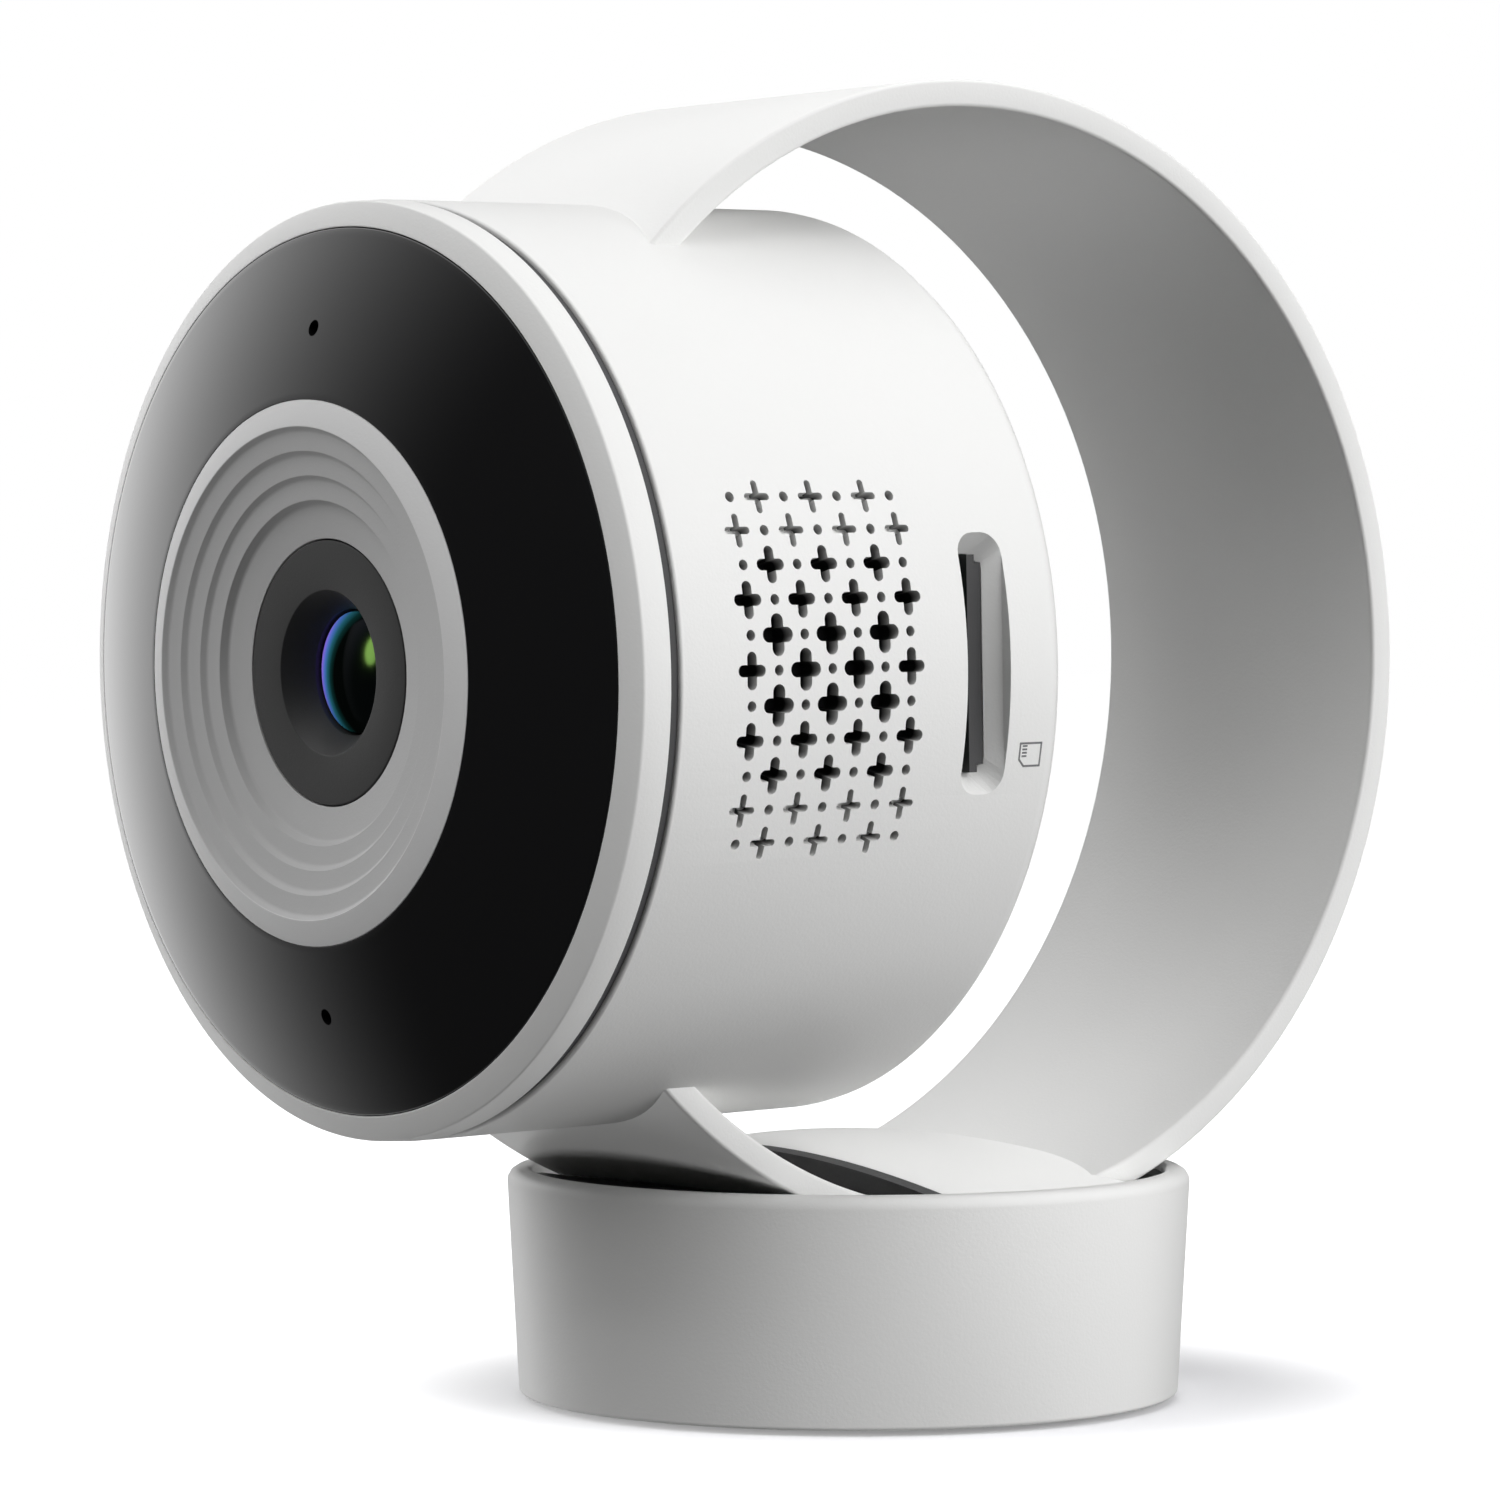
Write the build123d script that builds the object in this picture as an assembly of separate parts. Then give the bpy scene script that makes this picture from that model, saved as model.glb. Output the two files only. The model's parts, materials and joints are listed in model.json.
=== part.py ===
"""Pet camera: a drum-shaped camera head held in a flat ring that slides through a weighted base.

Frame: origin on the table under the middle of the base, +Z up, the lens looks along -Y.
The head and the ring are modelled level about the ring's centre and then set at the rest tilt.
"""
import os
from math import cos, degrees, radians, sin, sqrt

from build123d import *

# Fits
FIT = 0.05            # gap between pieces that are seated on each other
RUN_GAP = 0.3         # gap between pieces that slide past each other
OVERRUN = 2.0         # how far every cut runs past the faces it opens

# Base cup
BASE_HEIGHT = 16.55   # table to the top of the rim
BASE_BOTTOM_R = 23.8
BASE_TOP_R = 24.7
BASE_WALL = 1.8
RIM_OUTER_FILLET = 1.0
RIM_INNER_FILLET = 0.5
LEDGE_WIDTH = 1.0     # inner step that the bottom plate bears on
LEDGE_THICK = 1.5

# Bottom plate, foot and weight
FOOT_PROUD = 0.4      # the rubber foot lifts the cup this far off the table
FOOT_R = 20.5
FOOT_THICK = 1.2
PLATE_THICK = 3.2
WEIGHT_CLEAR = 0.5    # weight inside the ledge

# Ring band
RING_STANDOFF = 8.6   # outside of the ring from the head's surface
BAND_THICK = 1.9
BAND_WIDTH = 29.0
BAND_CHAMFER = 0.25
BAND_SINK = 3.8       # lowest point of the band below the base rim
REST_TILT = 1.2       # degrees, front of the head down
TONGUE_WIDTH = 14.0   # narrow end of the band that goes into the head
TONGUE_REACH = 6.0    # how far it goes in, along the head's radius

# Cradle under the band
CRADLE_DROP = 0.6     # top of the cradle below the rim
CRADLE_FLOOR = 3.3    # floor under the trough
LAND_THICK = 2.4      # floor under the saddle's wings
PAD_LENGTH = 20.0     # friction pads let into the trough
PAD_DEPTH = 1.2
PAD_GAP = 0.15
PAD_ANGLE = 12.0      # degrees from the lowest point of the ring
PAD_SPAN = 8.0        # degrees that one pad covers

# Saddle over the band
SADDLE_RISE = 4.45    # crown above the inside of the band
SADDLE_DOME_R = 60.0
SADDLE_GAP = 0.3      # round its edge, to the cup
SADDLE_FRONT = 9.4    # front wall ahead of the base's middle
SADDLE_FRONT_R = 75.0  # plan radius of the front wall
WIPER_THICK = 1.0

# Base and saddle screws
SCREW_R = 1.0
SCREW_HEAD_R = 1.8
SCREW_HEAD_H = 1.2
SCREW_BITE = 4.5      # length of thread in the second piece
BASE_SCREW_COUNT = 3
BASE_SCREW_CIRCLE_R = 12.0
BASE_SCREW_START = 90.0    # degrees, one screw at the rear
BOSS_WALL = 1.5
SADDLE_SCREW_EDGE = 0.5     # screw heads clear of the band's channel
SADDLE_SCREW_SHARES = (-0.35, 0.62)    # along the room in each wing, front and rear

# Head shell
HEAD_R = 31.9
HEAD_LENGTH = 36.0    # bezel edge to rear face
HEAD_REAR_GAP = 7.4   # rear face ahead of the ring's axis
SHELL_WALL = 2.0
REAR_FILLET = 1.6
SHELL_EDGE = 0.2      # chamfer at the seam

# Speaker grille, through the shell on the +X side
GRILLE_BACK = 15.45   # middle of the grille behind the bezel edge
GRILLE_ROWS = 11
GRILLE_COLUMNS = 7
ROW_PITCH = 2.3       # along the round of the shell
COLUMN_PITCH = 2.25
DOT_R = 0.36
SMALL_PLUS = (2.05, 2.3, 0.5)    # across, up, arm width
MEDIUM_PLUS = (2.25, 2.5, 0.78)
LARGE_PLUS = (2.5, 2.8, 1.0)
PLUS_END_SHARE = 0.3  # chamfer of an arm's end as a share of its width
DOT_SIDES = 8
BLIND_ROWS = 2        # rows at each end that don't go through the wall
BLIND_DEPTH = 1.2

# Card slot and socket, on the +X side
SLOT_BACK = 29.0      # middle of the slot behind the bezel edge
SLOT_WIDTH = 3.8
SLOT_LENGTH = 17.5
SLOT_CORNER = 1.5
SLOT_LIP = 1.0        # wall round the slot inside the shell
SOCKET_LENGTH = 14.5
SOCKET_DEPTH = 14.6
SOCKET_THICK = 1.9
SOCKET_INSET = 1.0    # mouth inside the shell's inner wall
CARD_WIDTH = 11.4
CARD_GAP = 0.9
SOCKET_SETBACK = 2.0  # socket's own mouth behind the face of its collar
COLLAR_WIDTH = 1.45   # dark collar along the rear of the slot's floor
COLLAR_STEP = 0.55    # its ends are stepped

# Front bezel, seam and panel
BEZEL_TAPER = 0.15    # front edge inside the head's surface
BEZEL_SIDE = 2.1
BEZEL_RISE = 0.8      # slope from the outer edge up to the panel
BEZEL_CHAMFER = 0.2
SEAM_WIDTH = 0.8
SEAM_DEPTH = 1.2
SPIGOT_LENGTH = 4.0
SPIGOT_WALL = 1.2
BEZEL_FACE = 1.8      # sloping face between the front edge and the panel
PANEL_DOME_R = 88.0
PANEL_THICK = 1.5
PANEL_SHELF = 2.5     # bezel shelf under the panel's rim
PIN_HOLE_R = 0.55
PIN_HOLE_INSET = 6.75  # inside the panel's edge

# Stepped trim ring
PANEL_WIDTH = 11.55   # black band from the trim ring to the panel's edge
TRIM_LIP = 1.8        # flat outer lip
TRIM_STEPS = 4
TRIM_INNER_SHARE = 0.3444    # innermost ledge as a share of the stepped width
TRIM_DEPTH = 1.82     # lip down to the innermost ledge
TRIM_RISER = 0.15     # radial slope of each riser
TRIM_FLANGE = 1.4     # behind the panel
TRIM_BACK = 1.7       # ring behind the innermost ledge
TRIM_GAP = 0.1        # shadow line round the lens hood

# Lens
HOOD_R = 8.95
HOOD_MOUTH_R = 5.6
HOOD_THROAT_R = 4.3
FUNNEL_DEPTH = 2.0
HOOD_SEAT = 3.2       # lens face to the front of the barrel
HOOD_SKIRT = 2.8      # hood over the barrel
BARREL_R = 7.0
BARREL_BORE_R = 3.2
GLASS_R = 3.9
GLASS_EDGE = 1.2
GLASS_DOME_R = 7.0
REAR_GLASS_THICK = 1.6

# Lens mount and switching filter
FILTER_END_ROOM = 0.8     # from the filter's travel to the mount's end walls
FILTER_SIDE_ROOM = 2.6    # from the filter to the mount's side walls
MOUNT_DEPTH = 5.0
MOUNT_WALL = 1.2
HUB_WALL = 1.6
HUB_LENGTH = 6.0
FILTER_X = 14.0
FILTER_Z = 8.4
FILTER_THICK = 0.6
FILTER_WINDOW_R = 2.7
FILTER_TRAVEL = 6.0
RAIL_WIDTH = 1.2
RAIL_THICK = 0.8
SOLENOID_X = 5.5
SOLENOID_Z = 6.0
SOLENOID_Y = 4.0

# Boards
BOARD_THICK = 1.6
MAIN_BOARD_CLEAR = 1.2    # main board inside the shell
CAMERA_BOARD_CLEAR = 1.15  # camera board inside the speaker's magnet
SPACER_LENGTH = 7.0
SPACER_R = 2.2
SPACER_INSET = 2.5        # inside the camera board's edge
CORNER_COUNT = 4          # spacers, and posts under the main board
CORNER_START = 45.0       # degrees
POST_R = 2.3
POST_INSET = 5.5          # posts inside the shell's inner wall
SENSOR_SIZE = 8.0
SENSOR_THICK = 1.2
CHIP_SIZE = 12.0
CHIP_THICK = 1.4
WIFI_Y = 2.2
WIFI_X = 11.0
WIFI_Z = 14.0
WIFI_INSET = 11.7         # middle inside the main board's edge
FILM_THICK = 0.25         # flexible antenna and speaker cloth
ANTENNA_LENGTH = 12.0
ANTENNA_WIDTH = 22.0
CABLE_WIDTH = 8.0
CABLE_THICK = 0.4

# Night vision and sensing
IR_BOARD_THICK = 1.0
IR_BOARD_HOLE_CLEAR = 2.0
LED_COUNT = 8
LED_R = 1.5
LED_INSET = 7.45          # inside the panel's edge
LED_CLEAR = 0.1           # tip behind the panel
LED_EDGE = 0.5            # chamfer round the tip
LED_START = 22.5          # degrees, so that the pin holes fall between two emitters
BOOT_R = 2.2
BOOT_BORE_R = 1.5
MIC_SIZE = 2.0
MIC_THICK = 1.0

# Speaker
SPEAKER_Y = 16.0
SPEAKER_Z = 26.0
SPEAKER_X = 4.8
SPEAKER_CORNER_SHARE = 0.2   # corner radius as a share of the width
SPEAKER_INSET = 4.1       # face inside the shell's inner wall
SPEAKER_RIM = 1.6
CONE_DEPTH = 1.4
CONE_THICK = 0.4
CONE_TAPER = 30.0         # degrees
MAGNET_R = 5.0
MAGNET_THICK = 1.8

# Rear face
INLET_X = 7.6
INLET_Z = 2.9
INLET_WALL = 0.35
INLET_GAP = 0.4
INLET_SINK = 0.5          # mouth below the rear face
INLET_INSET = 13.9        # middle inside the shell's inner wall
TONGUE_Z = 0.7
RESET_R = 1.5
RESET_GAP = 2.3           # switch beside the inlet
RESET_TRAVEL = 0.5
RESET_SWITCH = 5.0        # side of the switch body
RESET_SWITCH_THICK = 3.0
RESET_FLANGE = 0.8

# Places worked out from the sizes above
RING_R_OUT = HEAD_R + RING_STANDOFF
RING_R_IN = RING_R_OUT - BAND_THICK
RING_Z = BASE_HEIGHT - BAND_SINK + RING_R_OUT
CHANNEL_HALF = BAND_WIDTH / 2 + RUN_GAP
TROUGH_R = RING_R_OUT + RUN_GAP
PLATE_TOP_Z = FOOT_PROUD + PLATE_THICK
CRADLE_TOP_Z = BASE_HEIGHT - CRADLE_DROP
CRADLE_BOTTOM_Z = RING_Z - TROUGH_R - CRADLE_FLOOR
LAND_Z = CRADLE_BOTTOM_Z + LAND_THICK
DOME_TOP_Z = RING_Z - RING_R_IN + SADDLE_RISE
HEAD_REAR_Y = -HEAD_REAR_GAP
REAR_WALL_Y = HEAD_REAR_Y - SHELL_WALL
BEZEL_Y = HEAD_REAR_Y - HEAD_LENGTH
SEAM_FRONT_Y = BEZEL_Y + BEZEL_SIDE
SHELL_FRONT_Y = SEAM_FRONT_Y + SEAM_WIDTH
SHELL_IN_R = HEAD_R - SHELL_WALL
BEZEL_R = HEAD_R - BEZEL_TAPER
PANEL_R = BEZEL_R - BEZEL_FACE
TRIM_R = PANEL_R - PANEL_WIDTH
PIN_HOLE_CIRCLE_R = PANEL_R - PIN_HOLE_INSET
LED_CIRCLE_R = PANEL_R - LED_INSET
PANEL_EDGE_Y = BEZEL_Y - BEZEL_RISE
PANEL_CENTRE_Y = PANEL_EDGE_Y + sqrt(PANEL_DOME_R**2 - PANEL_R**2)
SHELF_Y = PANEL_EDGE_Y + PANEL_THICK
GRILLE_Y = BEZEL_Y + GRILLE_BACK
SLOT_Y = BEZEL_Y + SLOT_BACK
SLOT_REAR_Y = SLOT_Y + SLOT_WIDTH / 2
COLLAR_REAR_Y = SLOT_REAR_Y - FIT
COLLAR_STEP_Y = COLLAR_REAR_Y - COLLAR_STEP
SOCKET_MOUTH_X = SHELL_IN_R - SOCKET_INSET
MAIN_REAR_Y = SLOT_Y - SLOT_WIDTH / 2
MAIN_FRONT_Y = MAIN_REAR_Y - BOARD_THICK
MAIN_BOARD_R = SHELL_IN_R - MAIN_BOARD_CLEAR
CAMERA_REAR_Y = MAIN_FRONT_Y - SPACER_LENGTH
CAMERA_FRONT_Y = CAMERA_REAR_Y - BOARD_THICK
ROOF_Y = CAMERA_FRONT_Y - MOUNT_DEPTH
ROOF_IN_Y = ROOF_Y + MOUNT_WALL
FILTER_Y = ROOF_IN_Y + RUN_GAP
RAIL_Y = FILTER_Y + FILTER_THICK + RUN_GAP
POST_CIRCLE_R = SHELL_IN_R - POST_INSET
SPEAKER_FACE_X = SHELL_IN_R - SPEAKER_INSET
CAMERA_BOARD_R = SPEAKER_FACE_X - SPEAKER_X - FIT - MAGNET_THICK - CAMERA_BOARD_CLEAR
SPACER_CIRCLE_R = CAMERA_BOARD_R - SPACER_INSET
MOUNT_X = FILTER_X + FILTER_TRAVEL + 2 * (FILTER_END_ROOM + MOUNT_WALL)
MOUNT_Z = FILTER_Z + 2 * (FILTER_SIDE_ROOM + MOUNT_WALL)
WIFI_OFFSET = MAIN_BOARD_R - WIFI_INSET
INLET_Z0 = INLET_INSET - SHELL_IN_R
RESET_OFFSET = INLET_X / 2 + INLET_GAP + RESET_GAP + RESET_SWITCH / 2


def panel_y(radius):
    """Front of the domed panel at a radius from the lens axis."""
    return PANEL_CENTRE_Y - sqrt(PANEL_DOME_R**2 - radius**2)


TRIM_FACE_Y = panel_y(TRIM_R)
LENS_FACE_Y = TRIM_FACE_Y + TRIM_DEPTH
BARREL_FRONT_Y = LENS_FACE_Y + HOOD_SEAT
TRIM_REAR_Y = LENS_FACE_Y + TRIM_BACK
IR_REAR_Y = SEAM_FRONT_Y
IR_FRONT_Y = IR_REAR_Y - IR_BOARD_THICK
HEAD_PLACE = Pos(0, 0, RING_Z) * Rot(REST_TILT, 0, 0)


# Shapes that several pieces share

LOW = (Align.CENTER, Align.CENTER, Align.MIN)


def turned(points, axis=Axis.Y):
    """Solid of revolution from points of radius and place along the axis."""
    plane = Plane.XY if axis == Axis.Y else Plane.XZ
    return revolve(plane * make_face(Polyline(*points, close=True)), axis)


def rod(radius, start, end, x=0, z=0):
    """Round bar along the head's axis, from start to end."""
    return Pos(x, start, z) * Rot(-90, 0, 0) * Cylinder(radius, end - start, align=LOW)


def block(x_range, y_range, z_range):
    """Box between two corners."""
    size = [high - low for low, high in (x_range, y_range, z_range)]
    return Pos(x_range[0], y_range[0], z_range[0]) * Box(*size, align=(Align.MIN,) * 3)


def about_axis(radius, width):
    """Round bar along X, about the ring's axis."""
    return Rot(0, 90, 0) * Cylinder(radius, width)


def polar(radius, count, start):
    """Places on a circle in the head's cross-section, as x and z."""
    angles = [radians(start + number * 360 / count) for number in range(count)]
    return [(radius * cos(angle), radius * sin(angle)) for angle in angles]


def screw(length):
    """Pan screw along +Z, with the underside of its head at the origin."""
    head = Pos(0, 0, -SCREW_HEAD_H) * Cylinder(SCREW_HEAD_R, SCREW_HEAD_H, align=LOW)
    return head + Cylinder(SCREW_R, length, align=LOW)


def screw_room(length):
    """Hole for a screw and its head, in the same place as the screw."""
    head = Pos(0, 0, -SCREW_HEAD_H) * Cylinder(SCREW_HEAD_R + RUN_GAP, SCREW_HEAD_H, align=LOW)
    sink = Pos(0, 0, -SCREW_HEAD_H - OVERRUN) * Cylinder(SCREW_HEAD_R + RUN_GAP, OVERRUN, align=LOW)
    return head + sink + Cylinder(SCREW_R + FIT, length + FIT, align=LOW)


# Base

def cup_r(z):
    """Outer radius of the tapered cup at a height."""
    rise = (z - FOOT_PROUD) / (BASE_HEIGHT - FOOT_PROUD)
    return BASE_BOTTOM_R + (BASE_TOP_R - BASE_BOTTOM_R) * rise


def bore_r(z):
    """Inner radius of the cup at a height."""
    return cup_r(z) - BASE_WALL


def base_cup():
    ledge_top = PLATE_TOP_Z + LEDGE_THICK
    plate_r = bore_r(FOOT_PROUD)
    cup = turned([
        (cup_r(FOOT_PROUD), FOOT_PROUD), (BASE_TOP_R, BASE_HEIGHT), (bore_r(BASE_HEIGHT), BASE_HEIGHT),
        (bore_r(ledge_top), ledge_top), (plate_r - LEDGE_WIDTH, ledge_top),
        (plate_r - LEDGE_WIDTH, PLATE_TOP_Z), (plate_r, PLATE_TOP_Z), (plate_r, FOOT_PROUD),
    ], Axis.Z)
    rim = cup.edges().filter_by(GeomType.CIRCLE).group_by(Axis.Z)[-1].sort_by(SortBy.RADIUS)
    cup = fillet(rim[-1], RIM_OUTER_FILLET)
    rim = cup.edges().filter_by(GeomType.CIRCLE).group_by(Axis.Z)[-1].sort_by(SortBy.RADIUS)
    return fillet(rim[0], RIM_INNER_FILLET)


def base_screw_places():
    return polar(BASE_SCREW_CIRCLE_R, BASE_SCREW_COUNT, BASE_SCREW_START)


def base_screw_z():
    return FOOT_THICK + FIT + SCREW_HEAD_H


def base_screw_length():
    return PLATE_TOP_Z - base_screw_z() + SCREW_BITE


def base_plate():
    plate_r = bore_r(FOOT_PROUD) - FIT
    plate = Pos(0, 0, FOOT_PROUD) * Cylinder(plate_r, PLATE_THICK, align=LOW)
    plate -= Cylinder(FOOT_R + FIT, FOOT_THICK + FIT, align=LOW)
    for x, y in base_screw_places():
        plate -= Pos(x, y, base_screw_z()) * screw_room(PLATE_THICK)
    return plate


def foot_pad():
    return Cylinder(FOOT_R, FOOT_THICK, align=LOW)


def boss_r():
    return SCREW_R + BOSS_WALL


def base_weight():
    bottom = PLATE_TOP_Z + FIT
    top = CRADLE_BOTTOM_Z - FIT
    weight_r = bore_r(FOOT_PROUD) - LEDGE_WIDTH - WEIGHT_CLEAR
    weight = Pos(0, 0, bottom) * Cylinder(weight_r, top - bottom, align=LOW)
    for x, y in base_screw_places():
        weight -= Pos(x, y, bottom) * Cylinder(boss_r() + RUN_GAP, top - bottom, align=LOW)
    return weight


def base_screws():
    places = [Pos(x, y, base_screw_z()) for x, y in base_screw_places()]
    return [place * screw(base_screw_length()) for place in places]


def in_ring(shape):
    """Place a shape modelled about the ring's axis."""
    return Pos(0, 0, RING_Z) * shape


def pads(extra):
    """Friction pads under the band, or their pockets in the cradle."""
    outer = TROUGH_R + PAD_DEPTH
    inner = RING_R_OUT + PAD_GAP
    band = about_axis(outer + extra, PAD_LENGTH + 2 * extra) - about_axis(inner, PAD_LENGTH + 2 * extra)
    depth = 2 * outer * sin(radians(PAD_SPAN / 2)) + 2 * extra
    wedge = Box(PAD_LENGTH + 2 * OVERRUN, depth, 2 * (outer - inner) + 2 * OVERRUN)
    places = [Rot(angle, 0, 0) * Pos(0, 0, -outer) for angle in (-PAD_ANGLE, PAD_ANGLE)]
    return [in_ring(band & place * wedge) for place in places]


def wing_x():
    """Middle of the saddle's screws, beside the band's channel."""
    return CHANNEL_HALF + SADDLE_SCREW_EDGE + SCREW_HEAD_R


def saddle_front_r():
    return SADDLE_FRONT_R - WIPER_THICK - FIT


def saddle_screw_places():
    """Beside the channel, along the room that the cup leaves, with the front pair clear of the wiper."""
    reach = bore_r(LAND_Z) - RUN_GAP - SCREW_HEAD_R
    room = sqrt(reach**2 - wing_x()**2)
    front = SADDLE_FRONT_R - SADDLE_FRONT - sqrt(saddle_front_r()**2 - wing_x()**2)
    foremost = front + SADDLE_SCREW_EDGE + SCREW_R
    rows = [max(share * room, foremost) for share in SADDLE_SCREW_SHARES]
    return [(side * wing_x(), y) for side in (-1, 1) for y in rows]


def saddle_screw_z():
    return CRADLE_BOTTOM_Z + SCREW_HEAD_H


def ring_cradle():
    bottom_r = bore_r(CRADLE_BOTTOM_Z) - FIT
    top_r = bore_r(CRADLE_TOP_Z) - FIT
    height = CRADLE_TOP_Z - CRADLE_BOTTOM_Z
    cradle = Pos(0, 0, CRADLE_BOTTOM_Z) * Cone(bottom_r, top_r, height, align=LOW)
    cradle -= in_ring(about_axis(TROUGH_R, 2 * CHANNEL_HALF))
    wing = block((CHANNEL_HALF - FIT, BASE_TOP_R), (-BASE_TOP_R, BASE_TOP_R), (LAND_Z, BASE_HEIGHT))
    cradle -= wing
    cradle -= mirror(wing, Plane.YZ)
    for pocket in pads(FIT):
        cradle -= pocket
    boss_bottom = PLATE_TOP_Z + FIT
    for x, y in base_screw_places():
        boss = Cylinder(boss_r(), CRADLE_BOTTOM_Z - boss_bottom, align=LOW)
        cradle += Pos(x, y, boss_bottom) * boss
    for x, y in base_screw_places():
        cradle -= Pos(x, y, base_screw_z()) * screw_room(base_screw_length())
    for x, y in saddle_screw_places():
        cradle -= Pos(x, y, saddle_screw_z()) * screw_room(LAND_THICK)
    return cradle


def saddle_blank():
    """Dome over the band with wings down to the cradle, before its front is cut off."""
    top_r = bore_r(DOME_TOP_Z) - SADDLE_GAP
    bottom_r = bore_r(LAND_Z) - SADDLE_GAP
    blank = Pos(0, 0, LAND_Z) * Cone(bottom_r, top_r, DOME_TOP_Z - LAND_Z, align=LOW)
    blank &= Pos(0, 0, DOME_TOP_Z - SADDLE_DOME_R) * Sphere(SADDLE_DOME_R)
    channel = Box(2 * CHANNEL_HALF, 2 * RING_Z, 2 * RING_Z)
    channel -= about_axis(RING_R_IN - RUN_GAP, 2 * CHANNEL_HALF)
    return blank - in_ring(channel)


def front_limit(radius):
    """Upright cylinder whose front bounds the saddle."""
    height = DOME_TOP_Z + OVERRUN
    return Pos(0, SADDLE_FRONT_R - SADDLE_FRONT, 0) * Cylinder(radius, height, align=LOW)


def saddle(blank):
    body = blank & front_limit(saddle_front_r())
    for x, y in saddle_screw_places():
        body -= Pos(x, y, saddle_screw_z()) * screw_room(saddle_screw_length())
    return body


def saddle_screw_length():
    crown = DOME_TOP_Z - SADDLE_DOME_R + sqrt(SADDLE_DOME_R**2 - wing_x()**2)
    return (crown + LAND_Z) / 2 - saddle_screw_z()


def slot_wiper(blank):
    return blank & (front_limit(SADDLE_FRONT_R) - front_limit(SADDLE_FRONT_R - WIPER_THICK))


def saddle_screws():
    places = [Pos(x, y, saddle_screw_z()) for x, y in saddle_screw_places()]
    return [place * screw(saddle_screw_length()) for place in places]


# Ring band and its joint to the head

def full_ring(width, gap=0.0):
    """Whole ring of the band's thickness, with chamfered edges, widened by a gap all round."""
    half = width / 2 + gap
    inner, outer = RING_R_IN - gap, RING_R_OUT + gap
    edge = BAND_CHAMFER
    section = Polyline(
        (-half, inner + edge), (-half + edge, inner), (half - edge, inner), (half, inner + edge),
        (half, outer - edge), (half - edge, outer), (-half + edge, outer), (-half, outer - edge),
        close=True)
    return revolve(make_face(section), Axis.X)


def drum(radius):
    """Bar as wide as the head that reaches past both its ends."""
    return rod(radius, BEZEL_Y - RING_R_OUT, HEAD_REAR_Y)


def clamp_screw_places():
    """Frames on the inner side of each clamp, with +Z pointing out along the ring's radius."""
    middle = SHELL_IN_R - TONGUE_REACH / 2
    lean = sqrt(RING_R_IN**2 - middle**2)
    head_seat_r = RING_R_IN - SHELL_WALL - 2 * FIT
    frames = []
    for side in (-1, 1):
        for x in (-TONGUE_WIDTH / 4, TONGUE_WIDTH / 4):
            outward = Vector(0, -lean, side * middle).normalized()
            frames.append(Plane(outward * head_seat_r + Vector(x, 0, 0), z_dir=outward))
    return frames


def ring_band():
    band = full_ring(BAND_WIDTH) - drum(HEAD_R + FIT)
    tongue = full_ring(TONGUE_WIDTH) & (drum(HEAD_R + 2 * FIT) - drum(SHELL_IN_R - TONGUE_REACH))
    band += tongue
    for frame in clamp_screw_places():
        band -= frame.location * Cylinder(SCREW_R + FIT, SHELL_WALL + BAND_THICK + OVERRUN, align=LOW)
    return band


def band_clamps():
    outer, inner = RING_R_IN - FIT, RING_R_IN - SHELL_WALL - FIT
    plate = about_axis(outer, TONGUE_WIDTH) - about_axis(inner, TONGUE_WIDTH)
    plate &= drum(SHELL_IN_R - FIT) - drum(SHELL_IN_R - TONGUE_REACH)
    for frame in clamp_screw_places():
        plate -= frame.location * Cylinder(SCREW_R + FIT, SHELL_WALL + OVERRUN, align=LOW)
    return plate.solids()


def clamp_screws():
    return [frame.location * screw(SHELL_WALL + BAND_THICK) for frame in clamp_screw_places()]


# Head shell

def side_face(x, y):
    """Plane square to +X, with its own X along the head."""
    return Plane(origin=(x, y, 0), x_dir=(0, 1, 0), z_dir=(1, 0, 0))


def plus(across, up, arm):
    """Plus-shaped hole with eased arm ends, in a plane."""
    shape = Sketch()
    for width, height in ((across, arm), (arm, up)):
        bar = Rectangle(width, height)
        shape += chamfer(bar.vertices(), arm * PLUS_END_SHARE)
    return shape


def grille_hole(row, column):
    """Outline of one hole: dots and pluses take turns, the pluses grow towards the middle rows."""
    if (row + column) % 2 == 0:
        return RegularPolygon(DOT_R, DOT_SIDES)
    from_middle = abs(row - GRILLE_ROWS // 2)
    at_end = column in (0, GRILLE_COLUMNS - 1)
    if from_middle <= 1 and not (from_middle == 0 and at_end):
        return plus(*LARGE_PLUS)
    return plus(*(MEDIUM_PLUS if from_middle <= 3 else SMALL_PLUS))


def grille_cutters():
    """One cutter for each row, square to the round wall."""
    cutters = []
    for row in range(GRILLE_ROWS):
        blind = min(row, GRILLE_ROWS - 1 - row) < BLIND_ROWS
        floor = HEAD_R - BLIND_DEPTH if blind else SHELL_IN_R - OVERRUN
        face = side_face(floor, GRILLE_Y)
        holes = Sketch()
        for column in range(GRILLE_COLUMNS):
            across = (column - (GRILLE_COLUMNS - 1) / 2) * COLUMN_PITCH
            holes += Pos(across, 0) * grille_hole(row, column)
        arc = (row - (GRILLE_ROWS - 1) / 2) * ROW_PITCH
        cutters.append(Rot(0, degrees(arc / HEAD_R), 0) * extrude(face * holes, HEAD_R + OVERRUN - floor))
    return cutters


def post_places():
    return polar(POST_CIRCLE_R, CORNER_COUNT, CORNER_START)


def slot_collar():
    """Well round the card slot inside the shell, behind the main board's rear face."""
    half = SLOT_LENGTH / 2 + SLOT_LIP
    return block((SOCKET_MOUTH_X - SLOT_LIP, SHELL_IN_R + SHELL_WALL / 2),
                 (MAIN_REAR_Y + FIT, SLOT_REAR_Y + SLOT_LIP), (-half, half)) & rod(
                     (SHELL_IN_R + HEAD_R) / 2, MAIN_REAR_Y, HEAD_REAR_Y)


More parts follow.
